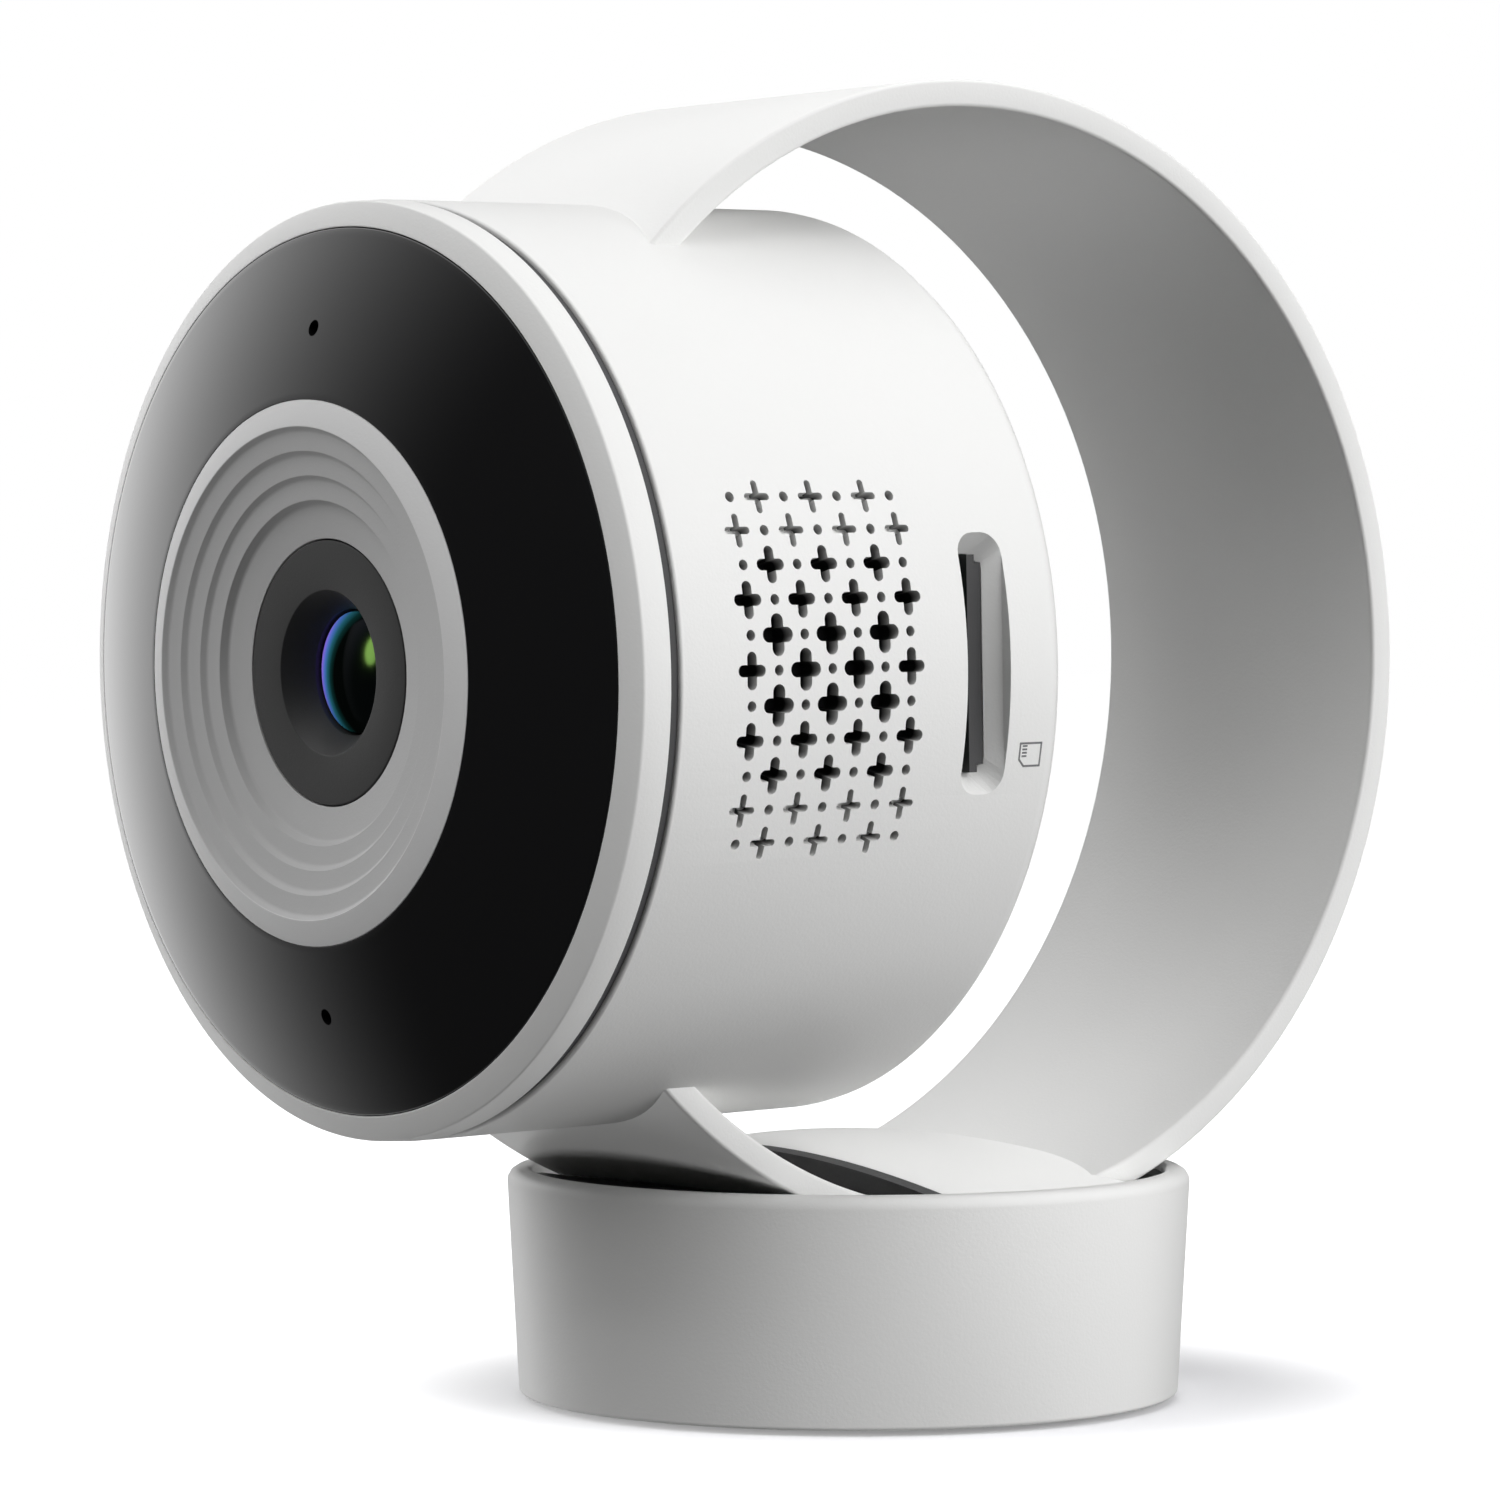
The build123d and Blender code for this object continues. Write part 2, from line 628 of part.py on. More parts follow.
def head_shell():
    shell = rod(HEAD_R, SHELL_FRONT_Y, HEAD_REAR_Y)
    rims = shell.edges().filter_by(GeomType.CIRCLE).sort_by(Axis.Y)
    shell = fillet(rims[-1], REAR_FILLET)
    front = shell.edges().filter_by(GeomType.CIRCLE).sort_by(Axis.Y)[0]
    shell = chamfer(front, SHELL_EDGE)
    shell -= rod(SHELL_IN_R, SHELL_FRONT_Y - OVERRUN, REAR_WALL_Y)
    for x, z in post_places():
        shell += rod(POST_R, MAIN_REAR_Y + FIT, REAR_WALL_Y, x, z)
        shell -= rod(SCREW_R + FIT, MAIN_REAR_Y - OVERRUN, MAIN_REAR_Y + SCREW_BITE + FIT, x, z)
    shell -= full_ring(TONGUE_WIDTH, FIT)
    shell += slot_collar()
    slot = RectangleRounded(SLOT_WIDTH, SLOT_LENGTH, SLOT_CORNER)
    shell -= extrude(side_face(SOCKET_MOUTH_X, SLOT_Y) * slot, HEAD_R)
    floor = (SOCKET_MOUTH_X - SLOT_LIP - OVERRUN, SOCKET_MOUTH_X + FIT)
    socket_end = SOCKET_LENGTH / 2 + FIT
    collar_end = socket_end - COLLAR_STEP
    shell -= block(floor, (MAIN_REAR_Y - OVERRUN, COLLAR_STEP_Y + FIT), (-socket_end, socket_end))
    shell -= block(floor, (MAIN_REAR_Y, SLOT_REAR_Y), (-collar_end, collar_end))
    rear = Plane(origin=(0, REAR_WALL_Y - OVERRUN / 2, INLET_Z0), x_dir=(1, 0, 0), z_dir=(0, 1, 0))
    mouth = RectangleRounded(INLET_X + 2 * INLET_GAP, INLET_Z + 2 * INLET_GAP, INLET_Z / 3)
    shell -= extrude(rear * mouth, SHELL_WALL + OVERRUN)
    shell -= rod(RESET_R + RUN_GAP, REAR_WALL_Y - OVERRUN, HEAD_REAR_Y + OVERRUN, RESET_OFFSET, INLET_Z0)
    return shell.cut(*grille_cutters())


# Front of the head

def front_bezel():
    spigot_r = SHELL_IN_R - FIT
    shelf_r = PANEL_R - PANEL_SHELF
    inner_r = shelf_r - SPIGOT_WALL
    spigot_end = SHELL_FRONT_Y + SPIGOT_LENGTH
    bezel = turned([
        (HEAD_R, SEAM_FRONT_Y), (BEZEL_R, BEZEL_Y), (PANEL_R + FIT, PANEL_EDGE_Y), (PANEL_R + FIT, SHELF_Y),
        (shelf_r, SHELF_Y), (shelf_r, IR_REAR_Y), (inner_r, IR_REAR_Y), (inner_r, spigot_end),
        (spigot_r, spigot_end), (spigot_r, SEAM_FRONT_Y),
    ])
    edge = [e for e in bezel.edges().filter_by(GeomType.CIRCLE) if abs(e.radius - BEZEL_R) < FIT]
    bezel = chamfer(edge, BEZEL_CHAMFER)
    return bezel - full_ring(TONGUE_WIDTH, RUN_GAP)


def seam_gasket():
    outer = HEAD_R - SEAM_DEPTH
    ring = rod(outer, SEAM_FRONT_Y + FIT, SHELL_FRONT_Y - FIT)
    return ring - rod(SHELL_IN_R, SEAM_FRONT_Y, SHELL_FRONT_Y)


def dome_arc(inner, outer, back):
    """Arc of the panel's front, or of its back when moved by its thickness."""
    middle = (inner + outer) / 2
    points = [(radius, panel_y(radius) + back) for radius in (inner, middle, outer)]
    return ThreePointArc(*points)


def front_panel():
    outline = dome_arc(TRIM_R, PANEL_R, 0) + dome_arc(TRIM_R, PANEL_R, PANEL_THICK)
    outline += Line((TRIM_R, panel_y(TRIM_R)), (TRIM_R, panel_y(TRIM_R) + PANEL_THICK))
    outline += Line((PANEL_R, PANEL_EDGE_Y), (PANEL_R, PANEL_EDGE_Y + PANEL_THICK))
    panel = revolve(make_face(outline), Axis.Y)
    for side in (-1, 1):
        panel -= rod(PIN_HOLE_R, TRIM_FACE_Y - OVERRUN, SHELF_Y, 0, side * PIN_HOLE_CIRCLE_R)
    return panel


def trim_ring():
    """Terraced funnel: a flat lip, then equal steps down towards the lens."""
    outer = TRIM_R - FIT
    flange_y = panel_y(TRIM_R) + PANEL_THICK + FIT
    drop = TRIM_DEPTH / TRIM_STEPS
    bore = HOOD_R + TRIM_GAP
    lip_edge = TRIM_R - TRIM_LIP
    pitch = (lip_edge - bore) * (1 - TRIM_INNER_SHARE) / (TRIM_STEPS - 1)
    points = [(outer, TRIM_FACE_Y)]
    for step in range(TRIM_STEPS):
        edge = lip_edge - step * pitch
        points.append((edge, TRIM_FACE_Y + step * drop))
        points.append((edge - TRIM_RISER, TRIM_FACE_Y + (step + 1) * drop))
    points += [(bore, LENS_FACE_Y), (bore, TRIM_REAR_Y), (TRIM_R + TRIM_FLANGE, TRIM_REAR_Y)]
    flange_front = panel_y(TRIM_R + TRIM_FLANGE) + PANEL_THICK + FIT
    points += [(TRIM_R + TRIM_FLANGE, flange_front), (outer, flange_y)]
    return turned(points)


# Lens

def lens_hood():
    rear = BARREL_FRONT_Y + HOOD_SKIRT
    throat = LENS_FACE_Y + FUNNEL_DEPTH
    return turned([
        (HOOD_MOUTH_R, LENS_FACE_Y), (HOOD_R, LENS_FACE_Y), (HOOD_R, rear), (BARREL_R + FIT, rear),
        (BARREL_R + FIT, BARREL_FRONT_Y), (HOOD_THROAT_R, BARREL_FRONT_Y), (HOOD_THROAT_R, throat),
    ])


def glass_seat_y():
    return BARREL_FRONT_Y + GLASS_EDGE / 2


def lens_front():
    """Convex front glass whose edge sits in the barrel's counterbore."""
    sag = GLASS_DOME_R - sqrt(GLASS_DOME_R**2 - GLASS_R**2)
    edge_y = glass_seat_y() - GLASS_EDGE
    middle_r = GLASS_R / 2
    middle_y = edge_y - sag + GLASS_DOME_R - sqrt(GLASS_DOME_R**2 - middle_r**2)
    outline = ThreePointArc((0, edge_y - sag), (middle_r, middle_y), (GLASS_R, edge_y))
    outline += Polyline((GLASS_R, edge_y), (GLASS_R, glass_seat_y()), (0, glass_seat_y()), (0, edge_y - sag))
    return revolve(make_face(outline), Axis.Y)


def barrel_end():
    return ROOF_IN_Y - RUN_GAP


def lens_barrel():
    rear_seat = barrel_end() - REAR_GLASS_THICK
    barrel = rod(BARREL_R, BARREL_FRONT_Y + FIT, barrel_end())
    barrel -= rod(GLASS_R + FIT, BARREL_FRONT_Y, glass_seat_y() + FIT)
    barrel -= rod(BARREL_BORE_R, BARREL_FRONT_Y, rear_seat + FIT)
    return barrel - rod(GLASS_R + FIT, rear_seat, barrel_end())


def lens_rear():
    return rod(GLASS_R, barrel_end() - REAR_GLASS_THICK + FIT, barrel_end())


def lens_mount():
    half_x, half_z = MOUNT_X / 2, MOUNT_Z / 2
    mount = block((-half_x, half_x), (ROOF_Y, CAMERA_FRONT_Y - FIT), (-half_z, half_z))
    inner_x, inner_z = half_x - MOUNT_WALL, half_z - MOUNT_WALL
    mount -= block((-inner_x, inner_x), (ROOF_IN_Y, CAMERA_FRONT_Y), (-inner_z, inner_z))
    mount += rod(BARREL_R + FIT + HUB_WALL, ROOF_Y - HUB_LENGTH, ROOF_Y)
    mount -= rod(BARREL_R + FIT, ROOF_Y - HUB_LENGTH - OVERRUN, ROOF_IN_Y)
    for side in (-1, 1):
        edges = sorted((side * (FILTER_Z / 2 - RAIL_WIDTH), side * inner_z))
        mount += block((-inner_x, inner_x), (RAIL_Y, RAIL_Y + RAIL_THICK), edges)
    return mount


def window_places():
    """Middle of each filter window at rest: the second one covers the sensor."""
    return [-FILTER_TRAVEL, 0]


def filter_frame():
    middle = -FILTER_TRAVEL / 2
    frame = block((middle - FILTER_X / 2, middle + FILTER_X / 2), (FILTER_Y, FILTER_Y + FILTER_THICK),
                  (-FILTER_Z / 2, FILTER_Z / 2))
    for x in window_places():
        frame -= rod(FILTER_WINDOW_R, FILTER_Y - OVERRUN, FILTER_Y + OVERRUN, x)
    return frame


def filter_glass():
    return [rod(FILTER_WINDOW_R - FIT, FILTER_Y, FILTER_Y + FILTER_THICK, x) for x in window_places()]


def filter_solenoid():
    start = MOUNT_X / 2 + FIT
    half = SOLENOID_Z / 2
    top = CAMERA_FRONT_Y - FIT
    coil = block((-start - SOLENOID_X, -start), (top - SOLENOID_Y, top), (-half, half))
    return fillet(coil.edges().filter_by(Axis.X), SOLENOID_Y / 4)


# Boards

def spacer_places():
    return polar(SPACER_CIRCLE_R, CORNER_COUNT, CORNER_START)


def camera_board():
    board = rod(CAMERA_BOARD_R, CAMERA_FRONT_Y, CAMERA_REAR_Y)
    for x, z in spacer_places():
        board -= rod(SCREW_R + FIT, CAMERA_FRONT_Y - OVERRUN, CAMERA_REAR_Y + OVERRUN, x, z)
    return board


def image_sensor():
    half = SENSOR_SIZE / 2
    return block((-half, half), (CAMERA_FRONT_Y - SENSOR_THICK, CAMERA_FRONT_Y), (-half, half))


def board_spacers():
    """Hexagonal pillars with a stud through each board."""
    spacers = []
    for x, z in spacer_places():
        face = Plane(origin=(x, CAMERA_REAR_Y, z), x_dir=(1, 0, 0), z_dir=(0, 1, 0))
        pillar = extrude(face * RegularPolygon(SPACER_R, 6), SPACER_LENGTH)
        spacers.append(pillar + rod(SCREW_R, CAMERA_FRONT_Y - BOARD_THICK / 2, MAIN_REAR_Y, x, z))
    return spacers


def main_board():
    board = rod(MAIN_BOARD_R, MAIN_FRONT_Y, MAIN_REAR_Y)
    for x, z in post_places() + spacer_places():
        board -= rod(SCREW_R + FIT, MAIN_FRONT_Y - OVERRUN, MAIN_REAR_Y + OVERRUN, x, z)
    return board


def board_screws():
    place = Rot(-90, 0, 0)
    length = BOARD_THICK + SCREW_BITE
    return [Pos(x, MAIN_FRONT_Y, z) * place * screw(length) for x, z in post_places()]


def main_chip():
    half = CHIP_SIZE / 2
    return block((-half, half), (MAIN_FRONT_Y - CHIP_THICK, MAIN_FRONT_Y), (-half, half))


def wifi_module():
    can = block((-WIFI_OFFSET - WIFI_X / 2, -WIFI_OFFSET + WIFI_X / 2),
                (MAIN_REAR_Y, MAIN_REAR_Y + WIFI_Y), (-WIFI_Z / 2, WIFI_Z / 2))
    return fillet(can.edges().filter_by(Axis.Y), WIFI_Y / 4)


def wall_film(y_range, width, side):
    """Thin film that lines the shell's inner wall on one side."""
    outer = SHELL_IN_R - FIT
    film = rod(outer, *y_range) - rod(outer - FILM_THICK, *y_range)
    edges = sorted((side * SHELL_IN_R, 0))
    return film & block(edges, y_range, (-width / 2, width / 2))


def antenna():
    half = ANTENNA_LENGTH / 2
    return wall_film((GRILLE_Y - half, GRILLE_Y + half), ANTENNA_WIDTH, -1)


def ribbon_cable():
    """Flat cable from the front board back to the main board."""
    x = -(CAMERA_BOARD_R + SHELL_IN_R) / 2
    half = CABLE_WIDTH / 2
    return block((x, x + CABLE_THICK), (IR_REAR_Y, MAIN_FRONT_Y), (-half, half))


def card_socket():
    """Flat card socket on the back of the main board, with a stepped collar in the slot's floor."""
    collar_face = SOCKET_MOUTH_X - FIT
    mouth = collar_face - SOCKET_SETBACK
    rear = collar_face - SOCKET_DEPTH
    half = SOCKET_LENGTH / 2
    body = block((rear, mouth), (MAIN_REAR_Y, MAIN_REAR_Y + SOCKET_THICK), (-half, half))
    body = chamfer(body.edges().filter_by(Axis.X), SOCKET_THICK / 4)
    middle = MAIN_REAR_Y + SOCKET_THICK / 2
    roof = middle + CARD_GAP / 2
    card = CARD_WIDTH / 2
    body -= block((rear + SOCKET_THICK, mouth + OVERRUN), (middle - CARD_GAP / 2, roof), (-card, card))
    root = mouth - SOCKET_THICK
    body += block((root, mouth), (roof, COLLAR_STEP_Y), (-half, half))
    body += block((mouth, collar_face), (COLLAR_REAR_Y - COLLAR_WIDTH, COLLAR_STEP_Y), (-half, half))
    step = half - COLLAR_STEP
    return body + block((root, collar_face), (COLLAR_STEP_Y, COLLAR_REAR_Y), (-step, step))


# Night vision and sensing

def ir_board():
    board = rod(PANEL_R - PANEL_SHELF - FIT, IR_FRONT_Y, IR_REAR_Y)
    return board - rod(HOOD_R + IR_BOARD_HOLE_CLEAR, IR_FRONT_Y, IR_REAR_Y)


def ir_leds():
    tip = panel_y(LED_CIRCLE_R + LED_R) + PANEL_THICK + LED_CLEAR
    leds = []
    for x, z in polar(LED_CIRCLE_R, LED_COUNT, LED_START):
        lamp = rod(LED_R, tip, IR_FRONT_Y, x, z)
        leds.append(chamfer(lamp.edges().filter_by(GeomType.CIRCLE).sort_by(Axis.Y)[0], LED_EDGE))
    return leds


def boot_front():
    return panel_y(PIN_HOLE_CIRCLE_R + BOOT_R) + PANEL_THICK + FIT


def mic_boot():
    boot = rod(BOOT_R, boot_front(), IR_FRONT_Y, 0, PIN_HOLE_CIRCLE_R)
    boot -= rod(PIN_HOLE_R, boot_front(), IR_FRONT_Y, 0, PIN_HOLE_CIRCLE_R)
    return boot - rod(BOOT_BORE_R, IR_FRONT_Y - MIC_THICK - FIT, IR_FRONT_Y, 0, PIN_HOLE_CIRCLE_R)


def microphone():
    half = MIC_SIZE / 2
    return block((-half, half), (IR_FRONT_Y - MIC_THICK, IR_FRONT_Y),
                 (PIN_HOLE_CIRCLE_R - half, PIN_HOLE_CIRCLE_R + half))


def light_sensor():
    """Light guide behind the lower pin hole, down to the board."""
    return rod(BOOT_BORE_R, boot_front(), IR_FRONT_Y, 0, -PIN_HOLE_CIRCLE_R)


# Speaker

def speaker_face(x):
    """Plane square to +X at the middle of the grille."""
    return side_face(x, GRILLE_Y)


def speaker_outline(inset):
    width = SPEAKER_Y - 2 * inset
    return RectangleRounded(width, SPEAKER_Z - 2 * inset, width * SPEAKER_CORNER_SHARE)


def speaker_frame():
    frame = extrude(speaker_face(SPEAKER_FACE_X - SPEAKER_X) * speaker_outline(0), SPEAKER_X)
    well = extrude(speaker_face(SPEAKER_FACE_X - CONE_DEPTH) * speaker_outline(SPEAKER_RIM), CONE_DEPTH)
    return frame - well


def speaker_cone():
    """Shallow racetrack diaphragm that hangs in the frame's well."""
    floor = SPEAKER_FACE_X - CONE_DEPTH
    rim = extrude(speaker_face(floor) * speaker_outline(SPEAKER_RIM + FIT), CONE_THICK)
    dome_outline = speaker_outline(2 * SPEAKER_RIM - FIT)
    return rim + extrude(speaker_face(floor) * dome_outline, CONE_DEPTH - FIT, taper=CONE_TAPER)


def speaker_magnet():
    back = SPEAKER_FACE_X - SPEAKER_X - FIT
    return extrude(speaker_face(back) * Circle(MAGNET_R), -MAGNET_THICK)


def cloth_r():
    return SHELL_IN_R - FIT - FILM_THICK


def speaker_gasket():
    """Foam frame between the speaker and the round wall."""
    ring = extrude(speaker_face(SPEAKER_FACE_X + FIT) * speaker_outline(0), SPEAKER_INSET)
    ring -= extrude(speaker_face(SPEAKER_FACE_X) * speaker_outline(SPEAKER_RIM), SPEAKER_INSET + OVERRUN)
    half = SPEAKER_Y / 2
    return ring & rod(cloth_r() - FIT, GRILLE_Y - half, GRILLE_Y + half)


def speaker_mesh():
    half = SPEAKER_Y / 2
    return wall_film((GRILLE_Y - half, GRILLE_Y + half), SPEAKER_Z, 1)


# Rear face

def power_inlet():
    """Upright socket on the main board with its contact tongue, open through the rear face."""
    face = Plane(origin=(0, MAIN_REAR_Y, INLET_Z0), x_dir=(1, 0, 0), z_dir=(0, 1, 0))
    height = HEAD_REAR_Y - INLET_SINK - MAIN_REAR_Y
    corner = INLET_Z / 4
    socket = extrude(face * RectangleRounded(INLET_X, INLET_Z, corner), height)
    room = RectangleRounded(INLET_X - 2 * INLET_WALL, INLET_Z - 2 * INLET_WALL, corner - INLET_WALL)
    socket -= Pos(0, height / 2, 0) * extrude(face * room, height)
    tongue = face * Rectangle(INLET_X / 2, TONGUE_Z)
    return socket + extrude(tongue, height - INLET_Z / 4)


def reset_switch():
    half = RESET_SWITCH / 2
    top = MAIN_REAR_Y + RESET_SWITCH_THICK
    return block((RESET_OFFSET - half, RESET_OFFSET + half), (MAIN_REAR_Y, top),
                 (INLET_Z0 - half, INLET_Z0 + half))


def reset_button():
    """Plunger in the rear face, with a flange that keeps it in."""
    start = MAIN_REAR_Y + RESET_SWITCH_THICK + RESET_TRAVEL + RUN_GAP
    plunger = rod(RESET_R, start, HEAD_REAR_Y - INLET_SINK, RESET_OFFSET, INLET_Z0)
    flange_end = REAR_WALL_Y - RUN_GAP
    flange_start = flange_end - RESET_FLANGE
    return plunger + rod(RESET_R + RESET_FLANGE, flange_start, flange_end, RESET_OFFSET, INLET_Z0)


def main():
    blank = saddle_blank()
    standing = {
        "base_cup": base_cup(), "base_plate": base_plate(), "foot_pad": foot_pad(),
        "base_weight": base_weight(), "base_screws": base_screws(), "ring_cradle": ring_cradle(),
        "friction_pads": pads(0), "saddle": saddle(blank), "slot_wiper": slot_wiper(blank),
        "saddle_screws": saddle_screws(),
    }
    head = [
        ring_band, band_clamps, clamp_screws, head_shell, front_bezel, seam_gasket, front_panel, trim_ring,
        lens_hood, lens_front, lens_barrel, lens_rear, lens_mount, filter_frame, filter_glass,
        filter_solenoid, camera_board, image_sensor, board_spacers, main_board, board_screws, main_chip,
        wifi_module, antenna, ribbon_cable, card_socket, ir_board, ir_leds, mic_boot, microphone,
        light_sensor, speaker_frame, speaker_cone, speaker_magnet, speaker_gasket, speaker_mesh,
        power_inlet, reset_switch, reset_button,
    ]
    os.makedirs("parts", exist_ok=True)
    for node, shape in standing.items():
        save(node, shape)
    for make in head:
        shape = make()
        tilted = [HEAD_PLACE * solid for solid in shape] if isinstance(shape, list) else HEAD_PLACE * shape
        save(make.__name__, tilted)


def save(node, shape):
    """Write one node: a single piece, or a group of like pieces."""
    if isinstance(shape, list):
        shape = Compound(children=list(shape))
    export_step(shape, f"parts/{node}.step")


main()
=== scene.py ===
"""Looks of a pet camera: a drum-shaped head held in a flat ring that slides through a weighted base."""
import json
from math import cos, pi, radians, sin, sqrt, tan

import bmesh
import bpy
from mathutils import Matrix, Vector


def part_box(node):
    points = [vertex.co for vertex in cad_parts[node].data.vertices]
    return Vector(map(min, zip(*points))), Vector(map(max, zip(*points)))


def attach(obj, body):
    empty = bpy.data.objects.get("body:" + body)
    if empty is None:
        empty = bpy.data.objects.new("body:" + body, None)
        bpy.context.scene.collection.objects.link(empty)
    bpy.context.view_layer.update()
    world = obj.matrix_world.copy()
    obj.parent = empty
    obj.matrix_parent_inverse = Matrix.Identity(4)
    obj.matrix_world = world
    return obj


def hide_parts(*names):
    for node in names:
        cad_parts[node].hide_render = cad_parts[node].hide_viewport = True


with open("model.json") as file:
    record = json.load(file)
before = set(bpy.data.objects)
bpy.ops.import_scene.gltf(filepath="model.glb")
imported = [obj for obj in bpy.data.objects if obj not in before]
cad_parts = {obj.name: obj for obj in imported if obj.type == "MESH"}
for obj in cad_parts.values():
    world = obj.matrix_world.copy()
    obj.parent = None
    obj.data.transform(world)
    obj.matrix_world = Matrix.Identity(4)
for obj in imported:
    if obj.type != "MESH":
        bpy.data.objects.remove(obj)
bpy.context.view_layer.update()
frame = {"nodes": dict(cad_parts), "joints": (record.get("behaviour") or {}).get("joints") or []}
nodes = frame["nodes"]


# Rubber foot
# A disc of black silicone rubber glued into the bottom plate, over its screws.
# It is die-cut from a moulded sheet, so its edge is nearly sharp and its face has a fine matt grain.

MM = 0.001  # all shapes below are modelled in millimetres
ROUND = 256  # facets round a turned piece
FINE_ROUND = 2 * ROUND
ARC_STEPS = 4  # facets round an eased corner
SHARP = radians(32)
CLOUD = 18.0  # broad, faint change of shade over a moulding
PLACES = {"base": Matrix()}  # where the pieces of each body are modelled
FOOT_EASE = 0.2


def corners(node):
    """Lowest and highest corner of a piece of the frame, in millimetres."""
    low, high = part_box(node)
    return low / MM, high / MM


def rounded(outline):
    """Closed outline of (radius, along, corner radius), with its corners turned into arcs."""
    points = []
    for number, (radius, along, corner) in enumerate(outline):
        here = Vector((radius, along))
        if corner == 0:
            points.append(here)
            continue
        before = (Vector(outline[number - 1][:2]) - here).normalized()
        after = (Vector(outline[(number + 1) % len(outline)][:2]) - here).normalized()
        half = before.angle(after) / 2
        middle = here + (before + after).normalized() * (corner / sin(half))
        start = here + before * (corner / tan(half)) - middle
        end = here + after * (corner / tan(half)) - middle
        for step in range(ARC_STEPS + 1):
            points.append(middle + start.lerp(end, step / ARC_STEPS).normalized() * corner)
    return points


def as_mesh(shape):
    """Mesh of a closed shape, with its faces turned outwards."""
    bmesh.ops.recalc_face_normals(shape, faces=shape.faces)
    mesh = bpy.data.meshes.new("shape")
    shape.to_mesh(mesh)
    shape.free()
    return mesh


def turned(outline, around=ROUND):
    """Closed outline spun about Z. A point at radius 0 becomes a pole."""
    shape = bmesh.new()
    angles = [2 * pi * number / around for number in range(around)]
    rings = []
    for radius, along in rounded(outline):
        if radius == 0:
            rings.append([shape.verts.new((0, 0, along))] * around)
            continue
        rings.append([shape.verts.new((radius * cos(a), radius * sin(a), along)) for a in angles])
    for ring, following in zip(rings, rings[1:] + rings[:1]):
        for number in range(around):
            face = dict.fromkeys((ring[number - 1], ring[number], following[number], following[number - 1]))
            if len(face) > 2:
                shape.faces.new(face)
    return as_mesh(shape)


def linear(code):
    """sRGB hex colour as linear red, green, blue and alpha."""
    values = [int(code[place:place + 2], 16) / 255 for place in (1, 3, 5)]
    return [v / 12.92 if v <= 0.04045 else ((v + 0.055) / 1.055) ** 2.4 for v in values] + [1.0]


def blank(owner):
    """Empty node tree of a new material or world."""
    owner.use_nodes = True
    owner.node_tree.nodes.clear()
    return owner.node_tree


def add(tree, kind, settings=None):
    """One node with its settings. Sockets are linked to its inputs; a node stands for its first output."""
    node = tree.nodes.new(kind)
    for name, value in (settings or {}).items():
        if isinstance(value, bpy.types.Node):
            value = value.outputs[0]
        if isinstance(value, bpy.types.NodeSocket):
            tree.links.new(value, node.inputs[name])
        elif isinstance(name, int) or name in node.inputs:
            node.inputs[name].default_value = value
        else:
            setattr(node, name, value)
    return node


def grained(name, light, dark, grain, rough, **settings):
    """Surface whose shade, gloss and bump vary a little. The grain is its width and depth in millimetres."""
    made = bpy.data.materials.new(name)
    tree = blank(made)
    place = add(tree, "ShaderNodeTexCoord").outputs["Object"]
    width, depth = grain
    smoothest, roughest = rough
    fine = add(tree, "ShaderNodeTexNoise", {"Scale": 1 / (width * MM), "Detail": 3.0, "Vector": place})
    broad = add(tree, "ShaderNodeTexNoise", {"Scale": 1 / (CLOUD * MM), "Detail": 2.0, "Vector": place})
    shade = add(tree, "ShaderNodeMix", {"data_type": "RGBA", 0: broad, 6: linear(light), 7: linear(dark)})
    gloss = add(tree, "ShaderNodeMapRange", {"To Min": smoothest, "To Max": roughest, "Value": fine})
    bump = add(tree, "ShaderNodeBump", {"Strength": 1.0, "Distance": depth * MM, "Height": fine})
    shader = add(tree, "ShaderNodeBsdfPrincipled", {
        **settings, "Base Color": shade.outputs[2], "Roughness": gloss, "Normal": bump})
    add(tree, "ShaderNodeOutputMaterial", {"Surface": shader})
    return made


def put(name, data):
    """New object in the scene."""
    made = bpy.data.objects.new(name, data)
    bpy.context.scene.collection.objects.link(made)
    return made


def piece(name, mesh, body, finish, slot, *stands_for):
    """Finished piece: scaled to metres, set in its place, shaded, and riding on its body."""
    mesh.transform(PLACES[body] @ Matrix.Scale(MM, 4))
    mesh.name = name
    mesh.shade_smooth()
    mesh.set_sharp_from_angle(angle=SHARP)
    mesh.materials.clear()
    mesh.materials.append(finish)
    made = put(name, mesh)
    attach(made, body)
    if stands_for:
        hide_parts(*stands_for)
    return made


# Silicone rubber, moulded sheet: black, matt, with a slight bloom
silicone_rubber = grained(
    "silicone_rubber_moulded_sheet", "#2e2e30", "#262628", grain=(0.3, 0.02), rough=(0.62, 0.78), IOR=1.42)

foot_low, foot_high = corners("foot_pad")
foot = turned([
    (0, foot_low.z, 0), (foot_high.x, foot_low.z, FOOT_EASE),
    (foot_high.x, foot_high.z, 0), (0, foot_high.z, 0),
])
piece("foot_pad_disc", foot, "base", silicone_rubber, "dark_rubber", "foot_pad")


# Base cup
# White ABS cup, slightly wider at its rim, injection moulded with a spark-eroded satin texture.
# The weight, the cradle and the bottom plate go in from below and are screwed together.

CUP_TAPER = 0.9  # rim wider than the bottom edge, on the radius
CUP_WALL = 1.8
CUP_LEDGE = 1.0
CUP_LEDGE_THICK = 1.5
RIM_ROUND = 0.9
RIM_INNER_ROUND = 0.4
CUP_EASE = 0.3

# ABS moulded against a spark-eroded tool: near white, satin, with a grain that only shows close to
# Its grain is drawn about twice as coarse as the real one, which is too fine to show
WHITE_ABS = {"light": "#f1f1f0", "dark": "#ededec", "grain": (0.22, 0.012), "rough": (0.4, 0.52), "IOR": 1.53}
white_abs = grained("white_abs_satin_moulded", **WHITE_ABS)

